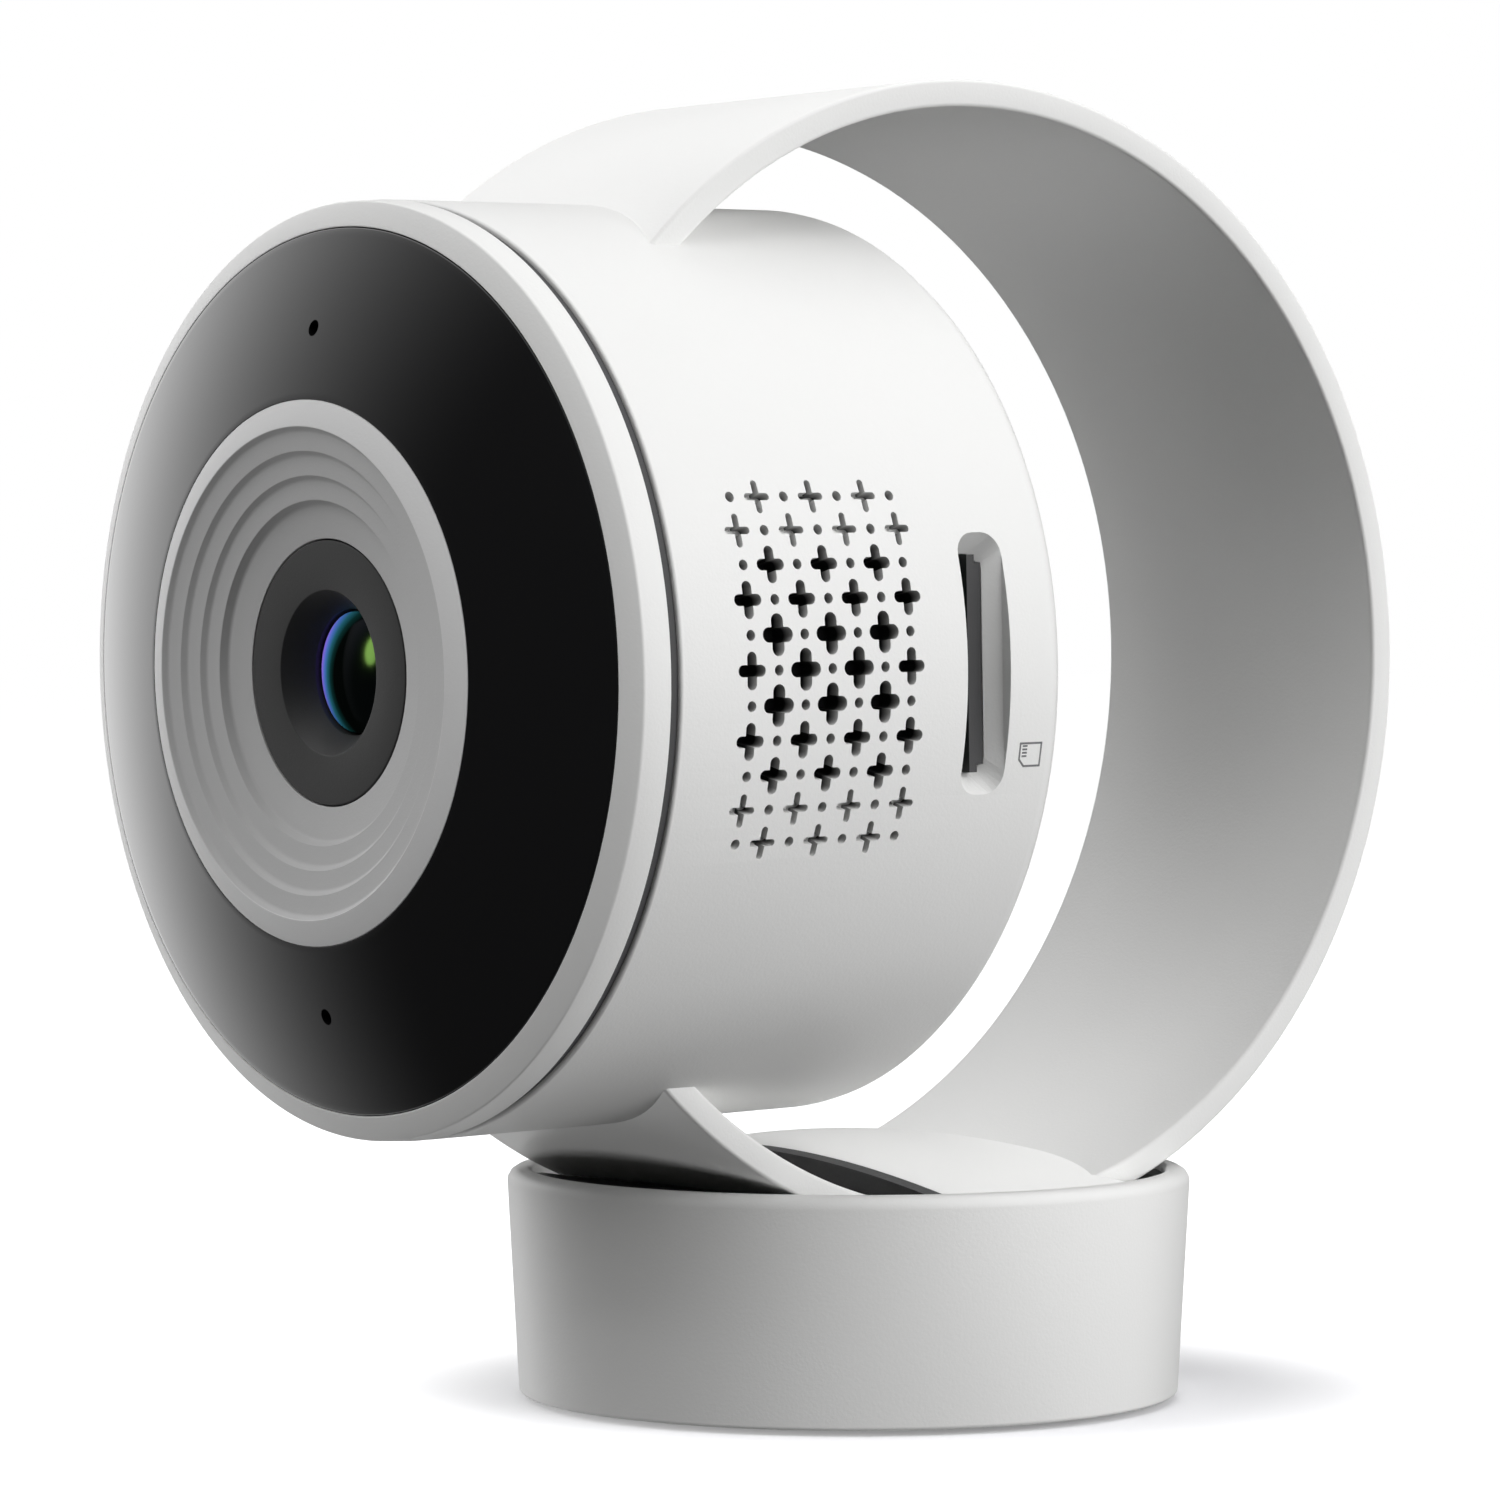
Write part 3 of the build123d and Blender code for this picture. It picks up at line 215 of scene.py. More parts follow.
cup_low, cup_high = corners("base_cup")
plate_top = corners("base_plate")[1].z
rim_r = cup_high.x
bottom_r = rim_r - CUP_TAPER
plate_r = bottom_r - CUP_WALL
ledge_top = plate_top + CUP_LEDGE_THICK
cup = turned([
    (bottom_r, cup_low.z, CUP_EASE), (rim_r, cup_high.z, RIM_ROUND),
    (rim_r - CUP_WALL, cup_high.z, RIM_INNER_ROUND), (plate_r, ledge_top, 0),
    (plate_r - CUP_LEDGE, ledge_top, 0), (plate_r - CUP_LEDGE, plate_top, 0),
    (plate_r, plate_top, 0), (plate_r, cup_low.z, 0),
])
piece("base_cup_moulding", cup, "base", white_abs, "white_abs", "base_cup")


# Saddle and wiper
# White ABS dome over the band, screwed down to the cradle from below, so the band runs in a closed channel.
# A dark rubber wiper lines its front edge, where the band comes out; its dark grey is painted shade for the
# shaded pocket there.

SADDLE_GAP = 0.3  # to the cup, all round
SADDLE_DOME_R = 60.0
SADDLE_EASE = 0.35
SADDLE_FRONT = 9.4  # front of the wiper ahead of the base's middle
SADDLE_FRONT_R = 75.0
WIPER_THICK = 1.0
BAND_THICK = 1.9  # of the ring that runs below the saddle
SEAT_GAP = 0.05
RUN_GAP = 0.3
DOME_STEPS = 24  # facets from the middle of a dome to its edge
ACROSS = Matrix.Rotation(pi / 2, 4, "Y")

ring_high = corners("ring_band")[1]
tilt = next(joint for joint in frame["joints"] if joint["name"] == "ring_tilt")
ring_z = tilt["pos_m"][2] / MM
ring_r = ring_high.z - ring_z
band_half = ring_high.x
inner_r = ring_r - BAND_THICK
saddle_low, saddle_high = corners("saddle")
land_z = saddle_low.z
dome_top = saddle_high.z


def baked(whole):
    """Plain mesh of an object as its modifiers make it."""
    bpy.context.view_layer.update()
    return bpy.data.meshes.new_from_object(whole.evaluated_get(bpy.context.evaluated_depsgraph_get()))


def carved(mesh, others, operation="DIFFERENCE"):
    """The mesh with other closed meshes cut from it, joined to it or kept in common with it."""
    whole = put("whole", mesh)
    tools = [put("tool", other) for other in others]
    for tool in tools:
        cut = whole.modifiers.new("cut", "BOOLEAN")
        cut.operation = operation
        cut.object = tool
        cut.solver = "EXACT"
    result = baked(whole)
    for used in [whole] + tools:
        bpy.data.objects.remove(used)
    return result


def bar(radius, start, end, around=ROUND):
    """Round bar along Z."""
    return turned([(0, start, 0), (radius, start, 0), (radius, end, 0), (0, end, 0)], around)


def moved(mesh, place):
    """The same mesh in another place."""
    mesh.transform(place)
    return mesh


def block(low, high):
    """Box between two corners."""
    shape = bmesh.new()
    size = [b - a for a, b in zip(low, high)]
    middle = [(a + b) / 2 for a, b in zip(low, high)]
    bmesh.ops.create_cube(shape, size=1, matrix=Matrix.Translation(middle) @ Matrix.Diagonal((*size, 1)))
    return as_mesh(shape)


def bore_r(height):
    """Inside of the cup at a height."""
    rise = (height - cup_low.z) / (cup_high.z - cup_low.z)
    return bottom_r + CUP_TAPER * rise - CUP_WALL


def dome_z(radius):
    """Top of the saddle at a distance from its middle."""
    return dome_top - SADDLE_DOME_R + sqrt(SADDLE_DOME_R**2 - radius**2)


def front_limit(radius):
    """Upright bar whose front bounds the saddle or the wiper."""
    place = Matrix.Translation((0, SADDLE_FRONT_R - SADDLE_FRONT, 0))
    return moved(bar(radius, 0, dome_top * 2, FINE_ROUND), place)


def saddle_blank():
    """Whole dome inside the cup, with room for the band below it."""
    edge_r = bore_r(cup_high.z) - SADDLE_GAP
    steps = [edge_r * step / DOME_STEPS for step in range(DOME_STEPS)]
    outline = [(radius, dome_z(radius), 0) for radius in steps]
    foot_r = bore_r(land_z) - SADDLE_GAP
    outline += [(edge_r, dome_z(edge_r), SADDLE_EASE), (foot_r, land_z, 0), (0, land_z, 0)]
    room = block((-band_half - RUN_GAP, -ring_z, 0), (band_half + RUN_GAP, ring_z, 2 * ring_z))
    hollow = bar(inner_r - RUN_GAP, -ring_z, ring_z, FINE_ROUND)
    moved(hollow, Matrix.Translation((0, 0, ring_z)) @ ACROSS)
    return carved(turned(outline), [carved(room, [hollow])])


saddle = carved(saddle_blank(), [front_limit(SADDLE_FRONT_R - WIPER_THICK - SEAT_GAP)], "INTERSECT")
saddle_piece = piece("saddle_moulding", saddle, "base", white_abs, "white_abs", "saddle")

# Nitrile rubber, moulded: dark grey and dull. On the wiper this dark grey is painted shade for the pocket in
# front of the saddle; inside, on the pads, boot and gasket, it is their own colour
rubber_and_pocket_shade = grained(
    "nitrile_rubber_and_pocket_shade", "#3a3a3b", "#333334", grain=(0.3, 0.02), rough=(0.55, 0.7), IOR=1.5)

wiper = carved(saddle_blank(), [front_limit(SADDLE_FRONT_R)], "INTERSECT")
wiper = carved(wiper, [front_limit(SADDLE_FRONT_R - WIPER_THICK)])
piece("slot_wiper_shade_strip", wiper, "base", rubber_and_pocket_shade, "dark_rubber", "slot_wiper")


# Ring band
# A flat ring of white ABS, moulded in one with the two tongues that go into the head.
# Its edges are broken so that it slides through the base without scraping.

REST_TILT = radians(1.2)
BAND_EASE = 0.28
TONGUE_HALF = 7.0
TONGUE_REACH = 6.0
HEAD_WALL = 2.0
BEZEL_Y = -43.4  # front and rear of the head, from the ring's middle
HEAD_REAR_Y = -7.4
HEAD_PLACE = Matrix.Translation((0, 0, ring_z * MM)) @ Matrix.Rotation(REST_TILT, 4, "X")
PLACES.update(camera=HEAD_PLACE, reset=HEAD_PLACE)
ALONG = Matrix.Rotation(-pi / 2, 4, "X")

head_r = corners("head_shell")[1].x


def hoop(half, gap=0.0):
    """Whole ring of the band's thickness about the X axis."""
    near, far, side = inner_r - gap, ring_r + gap, half + gap
    edges = [(near, -side), (far, -side), (far, side), (near, side)]
    return moved(turned([(*edge, BAND_EASE) for edge in edges], FINE_ROUND), ACROSS)


def drum(radius):
    """Bar along the head's axis, from before its front to its rear."""
    return moved(bar(radius, BEZEL_Y - 2 * HEAD_WALL, HEAD_REAR_Y), ALONG)


tongue = carved(hoop(TONGUE_HALF), [drum(head_r + HEAD_WALL / 2)], "INTERSECT")
tongue = carved(tongue, [drum(head_r - HEAD_WALL - TONGUE_REACH)])
band = carved(hoop(band_half), [drum(head_r)])
band = carved(band, [tongue], "UNION")
ring_piece = piece("ring_band_moulding", band, "camera", white_abs, "white_abs", "ring_band")


# Head shell
# White ABS drum, moulded with its rear wall, the speaker grille and the well of the card slot.
# The grille is dots and pluses in turn. The two outer rows at each end are blind, the rest go through.

SHELL_SETBACK = 2.9  # front of the shell behind the bezel's front edge
SHELL_FRONT_Y = BEZEL_Y + SHELL_SETBACK
REAR_ROUND = 1.6
SHELL_EASE = 0.2
SLOT_SETBACK = 29.0
SLOT_Y = BEZEL_Y + SLOT_SETBACK
SLOT_WIDTH = 3.8
SLOT_LENGTH = 17.5
SLOT_CORNER = 1.5
SLOT_LIP = 1.0
SLOT_DEPTH = 1.85
SLOT_SLOPE = 0.9  # foot of the rear wall ahead of its top edge
SLOT_END_SLOPE = 1.4  # the same at its two ends
SLOT_END_DROP = 1.1  # the end walls go this much deeper
SLOT_FOOT_CORNER = 1.0
COLLAR_STEP = 0.55  # the socket's collar is shorter by this much at its rear edge
INLET_Z = -16.0
INLET_MOUTH = (8.4, 3.7, 1.1)  # width, height and corner radius
RESET_X = 9.0
RESET_HOLE_R = 1.8
GRILLE_SETBACK = 15.45
GRILLE_Y = BEZEL_Y + GRILLE_SETBACK
GRILLE_ROWS = 11
GRILLE_COLUMNS = 7
ROW_PITCH = 2.3
COLUMN_PITCH = 2.25
DOT_R = 0.36
PLUS_SIZES = ("Across", "Up", "Arm")  # its length both ways, and the width of its arms
PLUSES = {"Small": (2.05, 2.3, 0.5), "Medium": (2.25, 2.5, 0.78), "Large": (2.5, 2.8, 1.0)}
ARM_END_SHARE = 0.499  # end radius of an arm by its width, just less than half
BLIND_DEPTH = 1.2
SMALL_FROM = 3.5  # rows from the middle where the small, blind pluses start
LARGE_ROWS = 1.5
LARGE_COLUMNS = 2.5
END_FACETS = 6
QUARTERS = ((1, 1), (-1, 1), (-1, -1), (1, -1))
SOCKET_KINDS = {int: "NodeSocketInt", float: "NodeSocketFloat", bpy.types.Material: "NodeSocketMaterial"}
HOLE_SHADE_DEPTHS = (0.1, 1.0)  # painted shade starts and is full at these depths in a hole

shell_in_r = head_r - HEAD_WALL
rear_wall_y = HEAD_REAR_Y - HEAD_WALL
well_x = head_r - SLOT_DEPTH


def section(width, height, corner):
    """Points of a rounded rectangle about the origin."""
    points = []
    for quarter, (side_x, side_y) in enumerate(QUARTERS):
        middle_x, middle_y = side_x * (width / 2 - corner), side_y * (height / 2 - corner)
        for step in range(END_FACETS + 1):
            angle = (quarter + step / END_FACETS) * pi / 2
            points.append((middle_x + corner * cos(angle), middle_y + corner * sin(angle)))
    return points


def skinned(*stacks):
    """Closed shapes, each through a stack of loops with as many points, capped at both ends."""
    shape = bmesh.new()
    for loops in stacks:
        rings = [[shape.verts.new(point) for point in loop] for loop in loops]
        for ring, following in zip(rings, rings[1:]):
            for number in range(len(ring)):
                shape.faces.new((ring[number - 1], ring[number], following[number], following[number - 1]))
        for ring in (rings[0], rings[-1]):
            shape.faces.new(ring)
    return as_mesh(shape)


def prism(width, height, corner, start, end):
    """Bar along Z with a rounded rectangular section."""
    return skinned([[(x, y, z) for x, y in section(width, height, corner)] for z in (start, end)])


def slot_cutter():
    """Fills the slot: its mouth follows the drum, its rear wall and its ends slope, the ends more deeply."""
    width, length = SLOT_WIDTH - SLOT_SLOPE, SLOT_LENGTH - 2 * SLOT_END_SLOPE
    straight = length / 2 - SLOT_FOOT_CORNER
    foot, mouth = [], []
    for z, y in section(length, width, SLOT_FOOT_CORNER):
        drop = SLOT_END_DROP * (abs(z) - straight) / SLOT_FOOT_CORNER
        foot.append((well_x - drop, SLOT_Y - SLOT_SLOPE / 2 + y, z))
    for z, y in section(SLOT_LENGTH, SLOT_WIDTH, SLOT_CORNER):
        mouth.append((sqrt(head_r**2 - z**2), SLOT_Y + y, z))
    bottom = [(well_x - SLOT_END_DROP - SEAT_GAP, y, z) for _, y, z in foot]
    return skinned([bottom, foot, mouth, [(x + SLOT_DEPTH, y, z) for x, y, z in mouth]])


def work_out(tree, known, sums):
    """Adds a table of sums to the known values: name, operation and its terms, each a name or a number."""
    for name, operation, *terms in sums:
        inputs = {place: known.get(term, term) for place, term in enumerate(terms)}
        known[name] = add(tree, "ShaderNodeMath", {"operation": operation, **inputs})


def punch(tree, outline, start, end):
    """Closed cutter from a flat outline, standing out along X between two radii."""
    flat = add(tree, "GeometryNodeFillCurve", {"mode": "NGONS", "Curve": outline})
    depth = add(tree, "ShaderNodeMath", {"operation": "SUBTRACT", 0: end, 1: start})
    raised = add(tree, "GeometryNodeExtrudeMesh", {"Individual": False, "Mesh": flat, "Offset Scale": depth})
    under = add(tree, "GeometryNodeFlipFaces", {"Mesh": flat})
    both = add(tree, "GeometryNodeJoinGeometry", {0: raised})
    tree.links.new(under.outputs[0], both.inputs[0])
    closed = add(tree, "GeometryNodeMergeByDistance", {"Geometry": both})
    out = add(tree, "ShaderNodeCombineXYZ", {"X": start})
    return add(tree, "GeometryNodeTransform",
               {"Geometry": closed, "Translation": out, "Rotation": (0, pi / 2, 0)})


def grille_tree(values):
    """Cuts rows and columns of dots and pluses through a drum about the Y axis. Each value is an input."""
    tree = bpy.data.node_groups.new("speaker_grille", "GeometryNodeTree")
    face = tree.interface
    for way in ("INPUT", "OUTPUT"):
        face.new_socket("Drum", in_out=way, socket_type="NodeSocketGeometry")
    for name, value in values.items():
        face.new_socket(name, in_out="INPUT", socket_type=SOCKET_KINDS[type(value)])
    known = {socket.name: socket for socket in add(tree, "NodeGroupInput").outputs}
    known["index"] = add(tree, "GeometryNodeInputIndex")

    # The place of each hole, from its row and column
    work_out(tree, known, [
        ("count", "MULTIPLY", "Rows", "Columns"),
        ("rows so far", "DIVIDE", "index", "Columns"),
        ("Row", "FLOOR", "rows so far"),
        ("Column", "MODULO", "index", "Columns"),
    ])
    for line in ("Row", "Column"):
        work_out(tree, known, [
            (f"last {line}", "SUBTRACT", f"{line}s", 1),
            (f"middle {line}", "DIVIDE", f"last {line}", 2),
            (f"from {line}", "SUBTRACT", line, f"middle {line}"),
            (f"{line} off", "ABSOLUTE", f"from {line}"),
            (f"{line} place", "MULTIPLY", f"from {line}", f"{line} Pitch"),
        ])
    work_out(tree, known, [
        ("along", "ADD", "Middle", "Column place"),
        ("angle", "DIVIDE", "Row place", "Drum Radius"),
    ])
    # Which kind of hole it is: 1 for yes, 0 for no
    work_out(tree, known, [
        ("both", "ADD", "Row", "Column"),
        ("plus", "MODULO", "both", 2),
        ("dot", "SUBTRACT", 1, "plus"),
        ("blind", "GREATER_THAN", "Row off", SMALL_FROM),
        ("open", "SUBTRACT", 1, "blind"),
        ("near row", "LESS_THAN", "Row off", LARGE_ROWS),
        ("near column", "LESS_THAN", "Column off", LARGE_COLUMNS),
        ("in middle", "MULTIPLY", "near row", "near column"),
        ("Large", "MULTIPLY", "plus", "in middle"),
        ("Small", "MULTIPLY", "plus", "blind"),
        ("not large", "SUBTRACT", "plus", "Large"),
        ("Medium", "SUBTRACT", "not large", "Small"),
        ("open dot", "MULTIPLY", "dot", "open"),
        ("blind dot", "MULTIPLY", "dot", "blind"),
    ])
    work_out(tree, known, [(f"{size} End", "MULTIPLY", f"{size} Arm", ARM_END_SHARE) for size in PLUSES])
    spot = add(tree, "ShaderNodeCombineXYZ", {"Y": known["along"]})
    euler = add(tree, "ShaderNodeCombineXYZ", {"Y": known["angle"]})
    turn = add(tree, "FunctionNodeEulerToRotation", {0: euler})
    points = add(tree, "GeometryNodePoints", {"Count": known["count"], "Position": spot})

    circle = add(tree, "GeometryNodeCurvePrimitiveCircle",
                 {"Resolution": len(QUARTERS) * END_FACETS, "Radius": known["Dot Radius"]})
    upright = [("open dot", circle, "Through To"), ("blind dot", circle, "Blind To")]
    level = []
    for size in PLUSES:
        floor = "Blind To" if size == "Small" else "Through To"
        across, up, arm, end_r = [known[f"{size} {way}"] for way in (*PLUS_SIZES, "End")]
        for bars, width, height in ((upright, up, arm), (level, arm, across)):
            box = add(tree, "GeometryNodeCurvePrimitiveQuadrilateral", {"Width": width, "Height": height})
            eased = add(tree, "GeometryNodeFilletCurve",
                        {"mode": "POLY", "Count": END_FACETS, "Curve": box, "Radius": end_r})
            bars.append((size, eased, floor))
    drum_now = known["Drum"]
    for bars in (upright, level):
        joined = add(tree, "GeometryNodeJoinGeometry")
        for kind, outline, floor in bars:
            cutter = punch(tree, outline, known[floor], known["Clear Of"])
            spread = add(tree, "GeometryNodeInstanceOnPoints",
                         {"Points": points, "Selection": known[kind], "Instance": cutter, "Rotation": turn})
            tree.links.new(spread.outputs[0], joined.inputs[0])
        real = add(tree, "GeometryNodeRealizeInstances", {0: joined})
        drum_now = add(tree, "GeometryNodeMeshBoolean",
                       {"operation": "DIFFERENCE", "solver": "EXACT", "Mesh 1": drum_now, "Mesh 2": real})
    whole = add(tree, "GeometryNodeRealizeInstances", {0: drum_now})
    finish = add(tree, "GeometryNodeSetMaterial", {"Geometry": whole, "Material": known["Finish"]})
    add(tree, "NodeGroupOutput", {0: finish})
    return tree


def perforated(mesh, values):
    """The mesh with the grille cut through it."""
    whole = put("whole", mesh)
    cut = whole.modifiers.new("grille", "NODES")
    cut.node_group = grille_tree(values)
    for socket in cut.node_group.interface.items_tree:
        if socket.name in values:
            cut[socket.identifier] = values[socket.name]
    result = baked(whole)
    bpy.data.objects.remove(whole)
    return result


def in_head(tree):
    """Object coordinates in the head's own frame, in millimetres."""
    place = add(tree, "ShaderNodeTexCoord").outputs["Object"]
    middle = Matrix.Rotation(-REST_TILT, 4, "X") @ Vector((0, 0, -ring_z))
    return add(tree, "ShaderNodeMapping", {
        "Location": middle, "Rotation": (-REST_TILT, 0, 0), "Scale": [1 / MM] * 3, "Vector": place})


def head_radius(tree, spot):
    """Distance from the head's axis."""
    flat = add(tree, "ShaderNodeVectorMath", {"operation": "MULTIPLY", 0: spot, 1: (1, 0, 1)})
    return add(tree, "ShaderNodeVectorMath", {"operation": "LENGTH", 0: flat}).outputs["Value"]


def tinted(made, code, mask):
    """The finish with another colour laid over it as far as a mask says."""
    tree = made.node_tree
    shader = next(node for node in tree.nodes if node.type == "BSDF_PRINCIPLED")
    under = shader.inputs["Base Color"].links[0].from_socket
    over = add(tree, "ShaderNodeMix", {"data_type": "RGBA", 0: mask(tree), 6: under, 7: linear(code)})
    tree.links.new(over.outputs[2], shader.inputs["Base Color"])


def grille_hole_shade(tree):
    """Painted shade in the grille: 1 down in its holes, 0 at the surface, on the floors of the blind holes
    and elsewhere.
    """
    spot = in_head(tree)
    apart = add(tree, "ShaderNodeSeparateXYZ", {0: spot}).outputs
    known = {"radius": head_radius(tree, spot), "along": apart["Y"], "height": apart["Z"]}
    start_r, full_r = [head_r - depth for depth in HOLE_SHADE_DEPTHS]
    known["deep"] = add(tree, "ShaderNodeMapRange", {
        "From Min": full_r, "From Max": start_r, "To Min": 1.0, "To Max": 0.0, "Value": known["radius"]})
    work_out(tree, known, [
        ("off", "ABSOLUTE", "height"),
        ("open rows", "LESS_THAN", "off", SMALL_FROM * ROW_PITCH),
        ("walls", "GREATER_THAN", "radius", full_r),
        ("painted", "MAXIMUM", "open rows", "walls"),
        ("before the slot", "LESS_THAN", "along", SLOT_Y - SLOT_WIDTH),
        ("grille", "MULTIPLY", "painted", "before the slot"),
        ("hole_shade", "MULTIPLY", "grille", "deep"),
    ])
    return known["hole_shade"]


shell = moved(turned([
    (head_r, SHELL_FRONT_Y, SHELL_EASE), (head_r, HEAD_REAR_Y, REAR_ROUND), (0, HEAD_REAR_Y, 0),
    (0, rear_wall_y, 0), (shell_in_r, rear_wall_y, 0), (shell_in_r, SHELL_FRONT_Y, 0),
], FINE_ROUND), ALONG)
well_half = SLOT_LENGTH / 2 + SLOT_LIP
socket_low, socket_high = corners("card_socket")
socket_half = (socket_high.z - socket_low.z) / 2
socket_front_y = SLOT_Y - SLOT_WIDTH / 2
well = block((well_x - SLOT_END_DROP - SLOT_LIP, socket_front_y + SEAT_GAP, -well_half),
             (head_r, SLOT_Y + SLOT_WIDTH / 2 + SLOT_LIP, well_half))
well = carved(well, [drum(head_r - HEAD_WALL / 2)], "INTERSECT")
slot_rear_y = SLOT_Y + SLOT_WIDTH / 2 - SLOT_SLOPE
socket_end = socket_half + SEAT_GAP
collar_end = socket_end - COLLAR_STEP
socket_room = block((0, socket_front_y - SLOT_LIP, -socket_end),
                    (well_x + SEAT_GAP, slot_rear_y - COLLAR_STEP, socket_end))
collar_room = block((0, socket_front_y - SLOT_LIP, -collar_end), (well_x + SEAT_GAP, slot_rear_y, collar_end))
AT_INLET = Matrix.Translation((0, 0, INLET_Z)) @ ALONG
AT_RESET = Matrix.Translation((RESET_X, 0, INLET_Z)) @ ALONG
inlet_hole = moved(prism(*INLET_MOUTH, rear_wall_y - HEAD_WALL, head_r), AT_INLET)
reset_hole = moved(bar(RESET_HOLE_R, rear_wall_y - HEAD_WALL, head_r), AT_RESET)
shell = carved(shell, [well], "UNION")
tongue_room = hoop(TONGUE_HALF, SEAT_GAP)
shell = carved(shell, [slot_cutter(), socket_room, collar_room, inlet_hole, reset_hole, tongue_room])
grille_values = {
    "Rows": GRILLE_ROWS, "Columns": GRILLE_COLUMNS, "Row Pitch": ROW_PITCH, "Column Pitch": COLUMN_PITCH,
    "Middle": GRILLE_Y, "Drum Radius": head_r, "Dot Radius": DOT_R, "Through To": shell_in_r - HEAD_WALL / 2,
    "Blind To": head_r - BLIND_DEPTH, "Clear Of": head_r + HEAD_WALL, "Finish": white_abs,
}
for size, measures in PLUSES.items():
    for way, measure in zip(PLUS_SIZES, measures):
        grille_values[f"{size} {way}"] = measure
shell = perforated(shell, grille_values)

# The same ABS, with painted shade laid dark down the walls of the grille holes, where shade falls deep in
# them
shell_abs_hole_shade = grained("white_abs_hole_painted_shade", **WHITE_ABS)
# the dark grey laid on here is painted shade in the holes
tinted(shell_abs_hole_shade, "#262627", grille_hole_shade)
piece("head_shell_moulding", shell, "camera", shell_abs_hole_shade, "white_abs", "head_shell")


# Card socket and card mark
# Moulded card socket on the main board. Its mouth lies deep in the slot, behind a stepped collar.
# Beside the slot a plain outline of a card is pad-printed in grey.

CARD_HALF = 5.7
CARD_GAP = 0.9
SOCKET_THICK = 1.9
SOCKET_DEPTH = 15.75
SOCKET_SETBACK = 3.15  # mouth of the socket behind the face of its collar
COLLAR_WIDTH = 1.2

# Liquid-crystal polymer, moulded, with a dull skin: the collar's polymer drawn black as painted shade deep in
# the slot
socket_polymer_shade = grained(
    "liquid_crystal_polymer_painted_shade", "#141415", "#101011", grain=(0.12, 0.006), rough=(0.55, 0.68))
# The collar is the same polymer in dark grey
collar_polymer = grained(
    "liquid_crystal_polymer_grey", "#343435", "#303031", grain=(0.12, 0.006), rough=(0.5, 0.62))

collar_x = well_x - SEAT_GAP
socket_x = collar_x - SOCKET_SETBACK
collar_rear_y = slot_rear_y - SEAT_GAP
step_y = collar_rear_y - COLLAR_STEP
gap_end_y = socket_front_y + SOCKET_THICK / 2 + CARD_GAP / 2
socket = block((collar_x - SOCKET_DEPTH, socket_front_y, -socket_half),
               (socket_x, socket_front_y + SOCKET_THICK, socket_half))
card_room = block((collar_x - SOCKET_DEPTH + SOCKET_THICK, gap_end_y - CARD_GAP, -CARD_HALF),
                  (head_r, gap_end_y, CARD_HALF))
socket = carved(socket, [card_room])
piece("card_socket_body", socket, "camera", socket_polymer_shade, "chip_resin", "card_socket")
crest_half = socket_half - COLLAR_STEP
collar_low_x = socket_x - SOCKET_THICK
collar = block((collar_low_x, collar_rear_y - COLLAR_WIDTH, -socket_half), (collar_x, step_y, socket_half))
crest = block((collar_low_x, step_y - COLLAR_STEP / 2, -crest_half), (collar_x, collar_rear_y, crest_half))
collar = carved(collar, [crest], "UNION")
piece("card_socket_collar", collar, "camera", collar_polymer, "chip_resin")

MARK_SETBACK = 4.0  # behind the middle of the slot
MARK_Y = SLOT_Y + MARK_SETBACK
MARK_ANGLE = radians(-11.2)
MARK_LONG = 2.0
MARK_WIDE = 1.7
MARK_LINE = 0.14
MARK_CUT = 0.5  # cut corner of the card
MARK_FILM = 0.012  # thickness of the printed ink
CONTACT_COUNT = 4
CONTACT_LONG = 0.42
CONTACT_SHARE = 0.55  # bar as a share of the contacts' pitch


def on_drum(along, around, radius):
    """Point on the head's side from its place in the flat drawing of the mark."""
    angle = MARK_ANGLE + around / head_r
    return radius * cos(angle), MARK_Y + along, radius * sin(angle)


def card_outline(inset):
    """Card with one cut corner, drawn smaller by an inset."""
    x, y = MARK_LONG / 2 - inset, MARK_WIDE / 2 - inset
    cut = MARK_CUT - inset * (2 - sqrt(2))
    return [(-x, y), (x, y), (x, -y), (-x + cut, -y), (-x, -y + cut)]


outer_line, inner_line = card_outline(0), card_outline(MARK_LINE)
mark_areas = []
for number, outer in enumerate(outer_line):
    mark_areas.append([outer_line[number - 1], outer, inner_line[number], inner_line[number - 1]])
contact_room = MARK_WIDE - MARK_CUT - 2 * MARK_LINE
contact_half = contact_room * CONTACT_SHARE / CONTACT_COUNT / 2
left = -MARK_LONG / 2 + 2 * MARK_LINE
right = left + CONTACT_LONG
for number in range(CONTACT_COUNT):
    middle = MARK_WIDE / 2 - MARK_LINE - contact_room * (number + 0.5) / CONTACT_COUNT
    low, high = middle - contact_half, middle + contact_half
    mark_areas.append([(left, low), (right, low), (right, high), (left, high)])
film_radii = (head_r - MARK_FILM, head_r + MARK_FILM)
mark = skinned(*[[[on_drum(*spot, radius) for spot in area] for radius in film_radii] for area in mark_areas])

# Two-part pad-printing ink: mid grey, a little glossier than the plastic
grey_ink = grained("pad_printing_ink", "#6a6a6c", "#5e5e60", grain=(0.1, 0.002), rough=(0.35, 0.45))
piece("card_mark_print", mark, "camera", grey_ink, "dark_abs")


# Seam gasket and front bezel
# The bezel is a white ABS ring whose spigot snaps into the shell; its face slopes up to the black panel.
# A dark rubber gasket lies in the groove that is left between the two; its dark grey is painted shade in the
# groove.

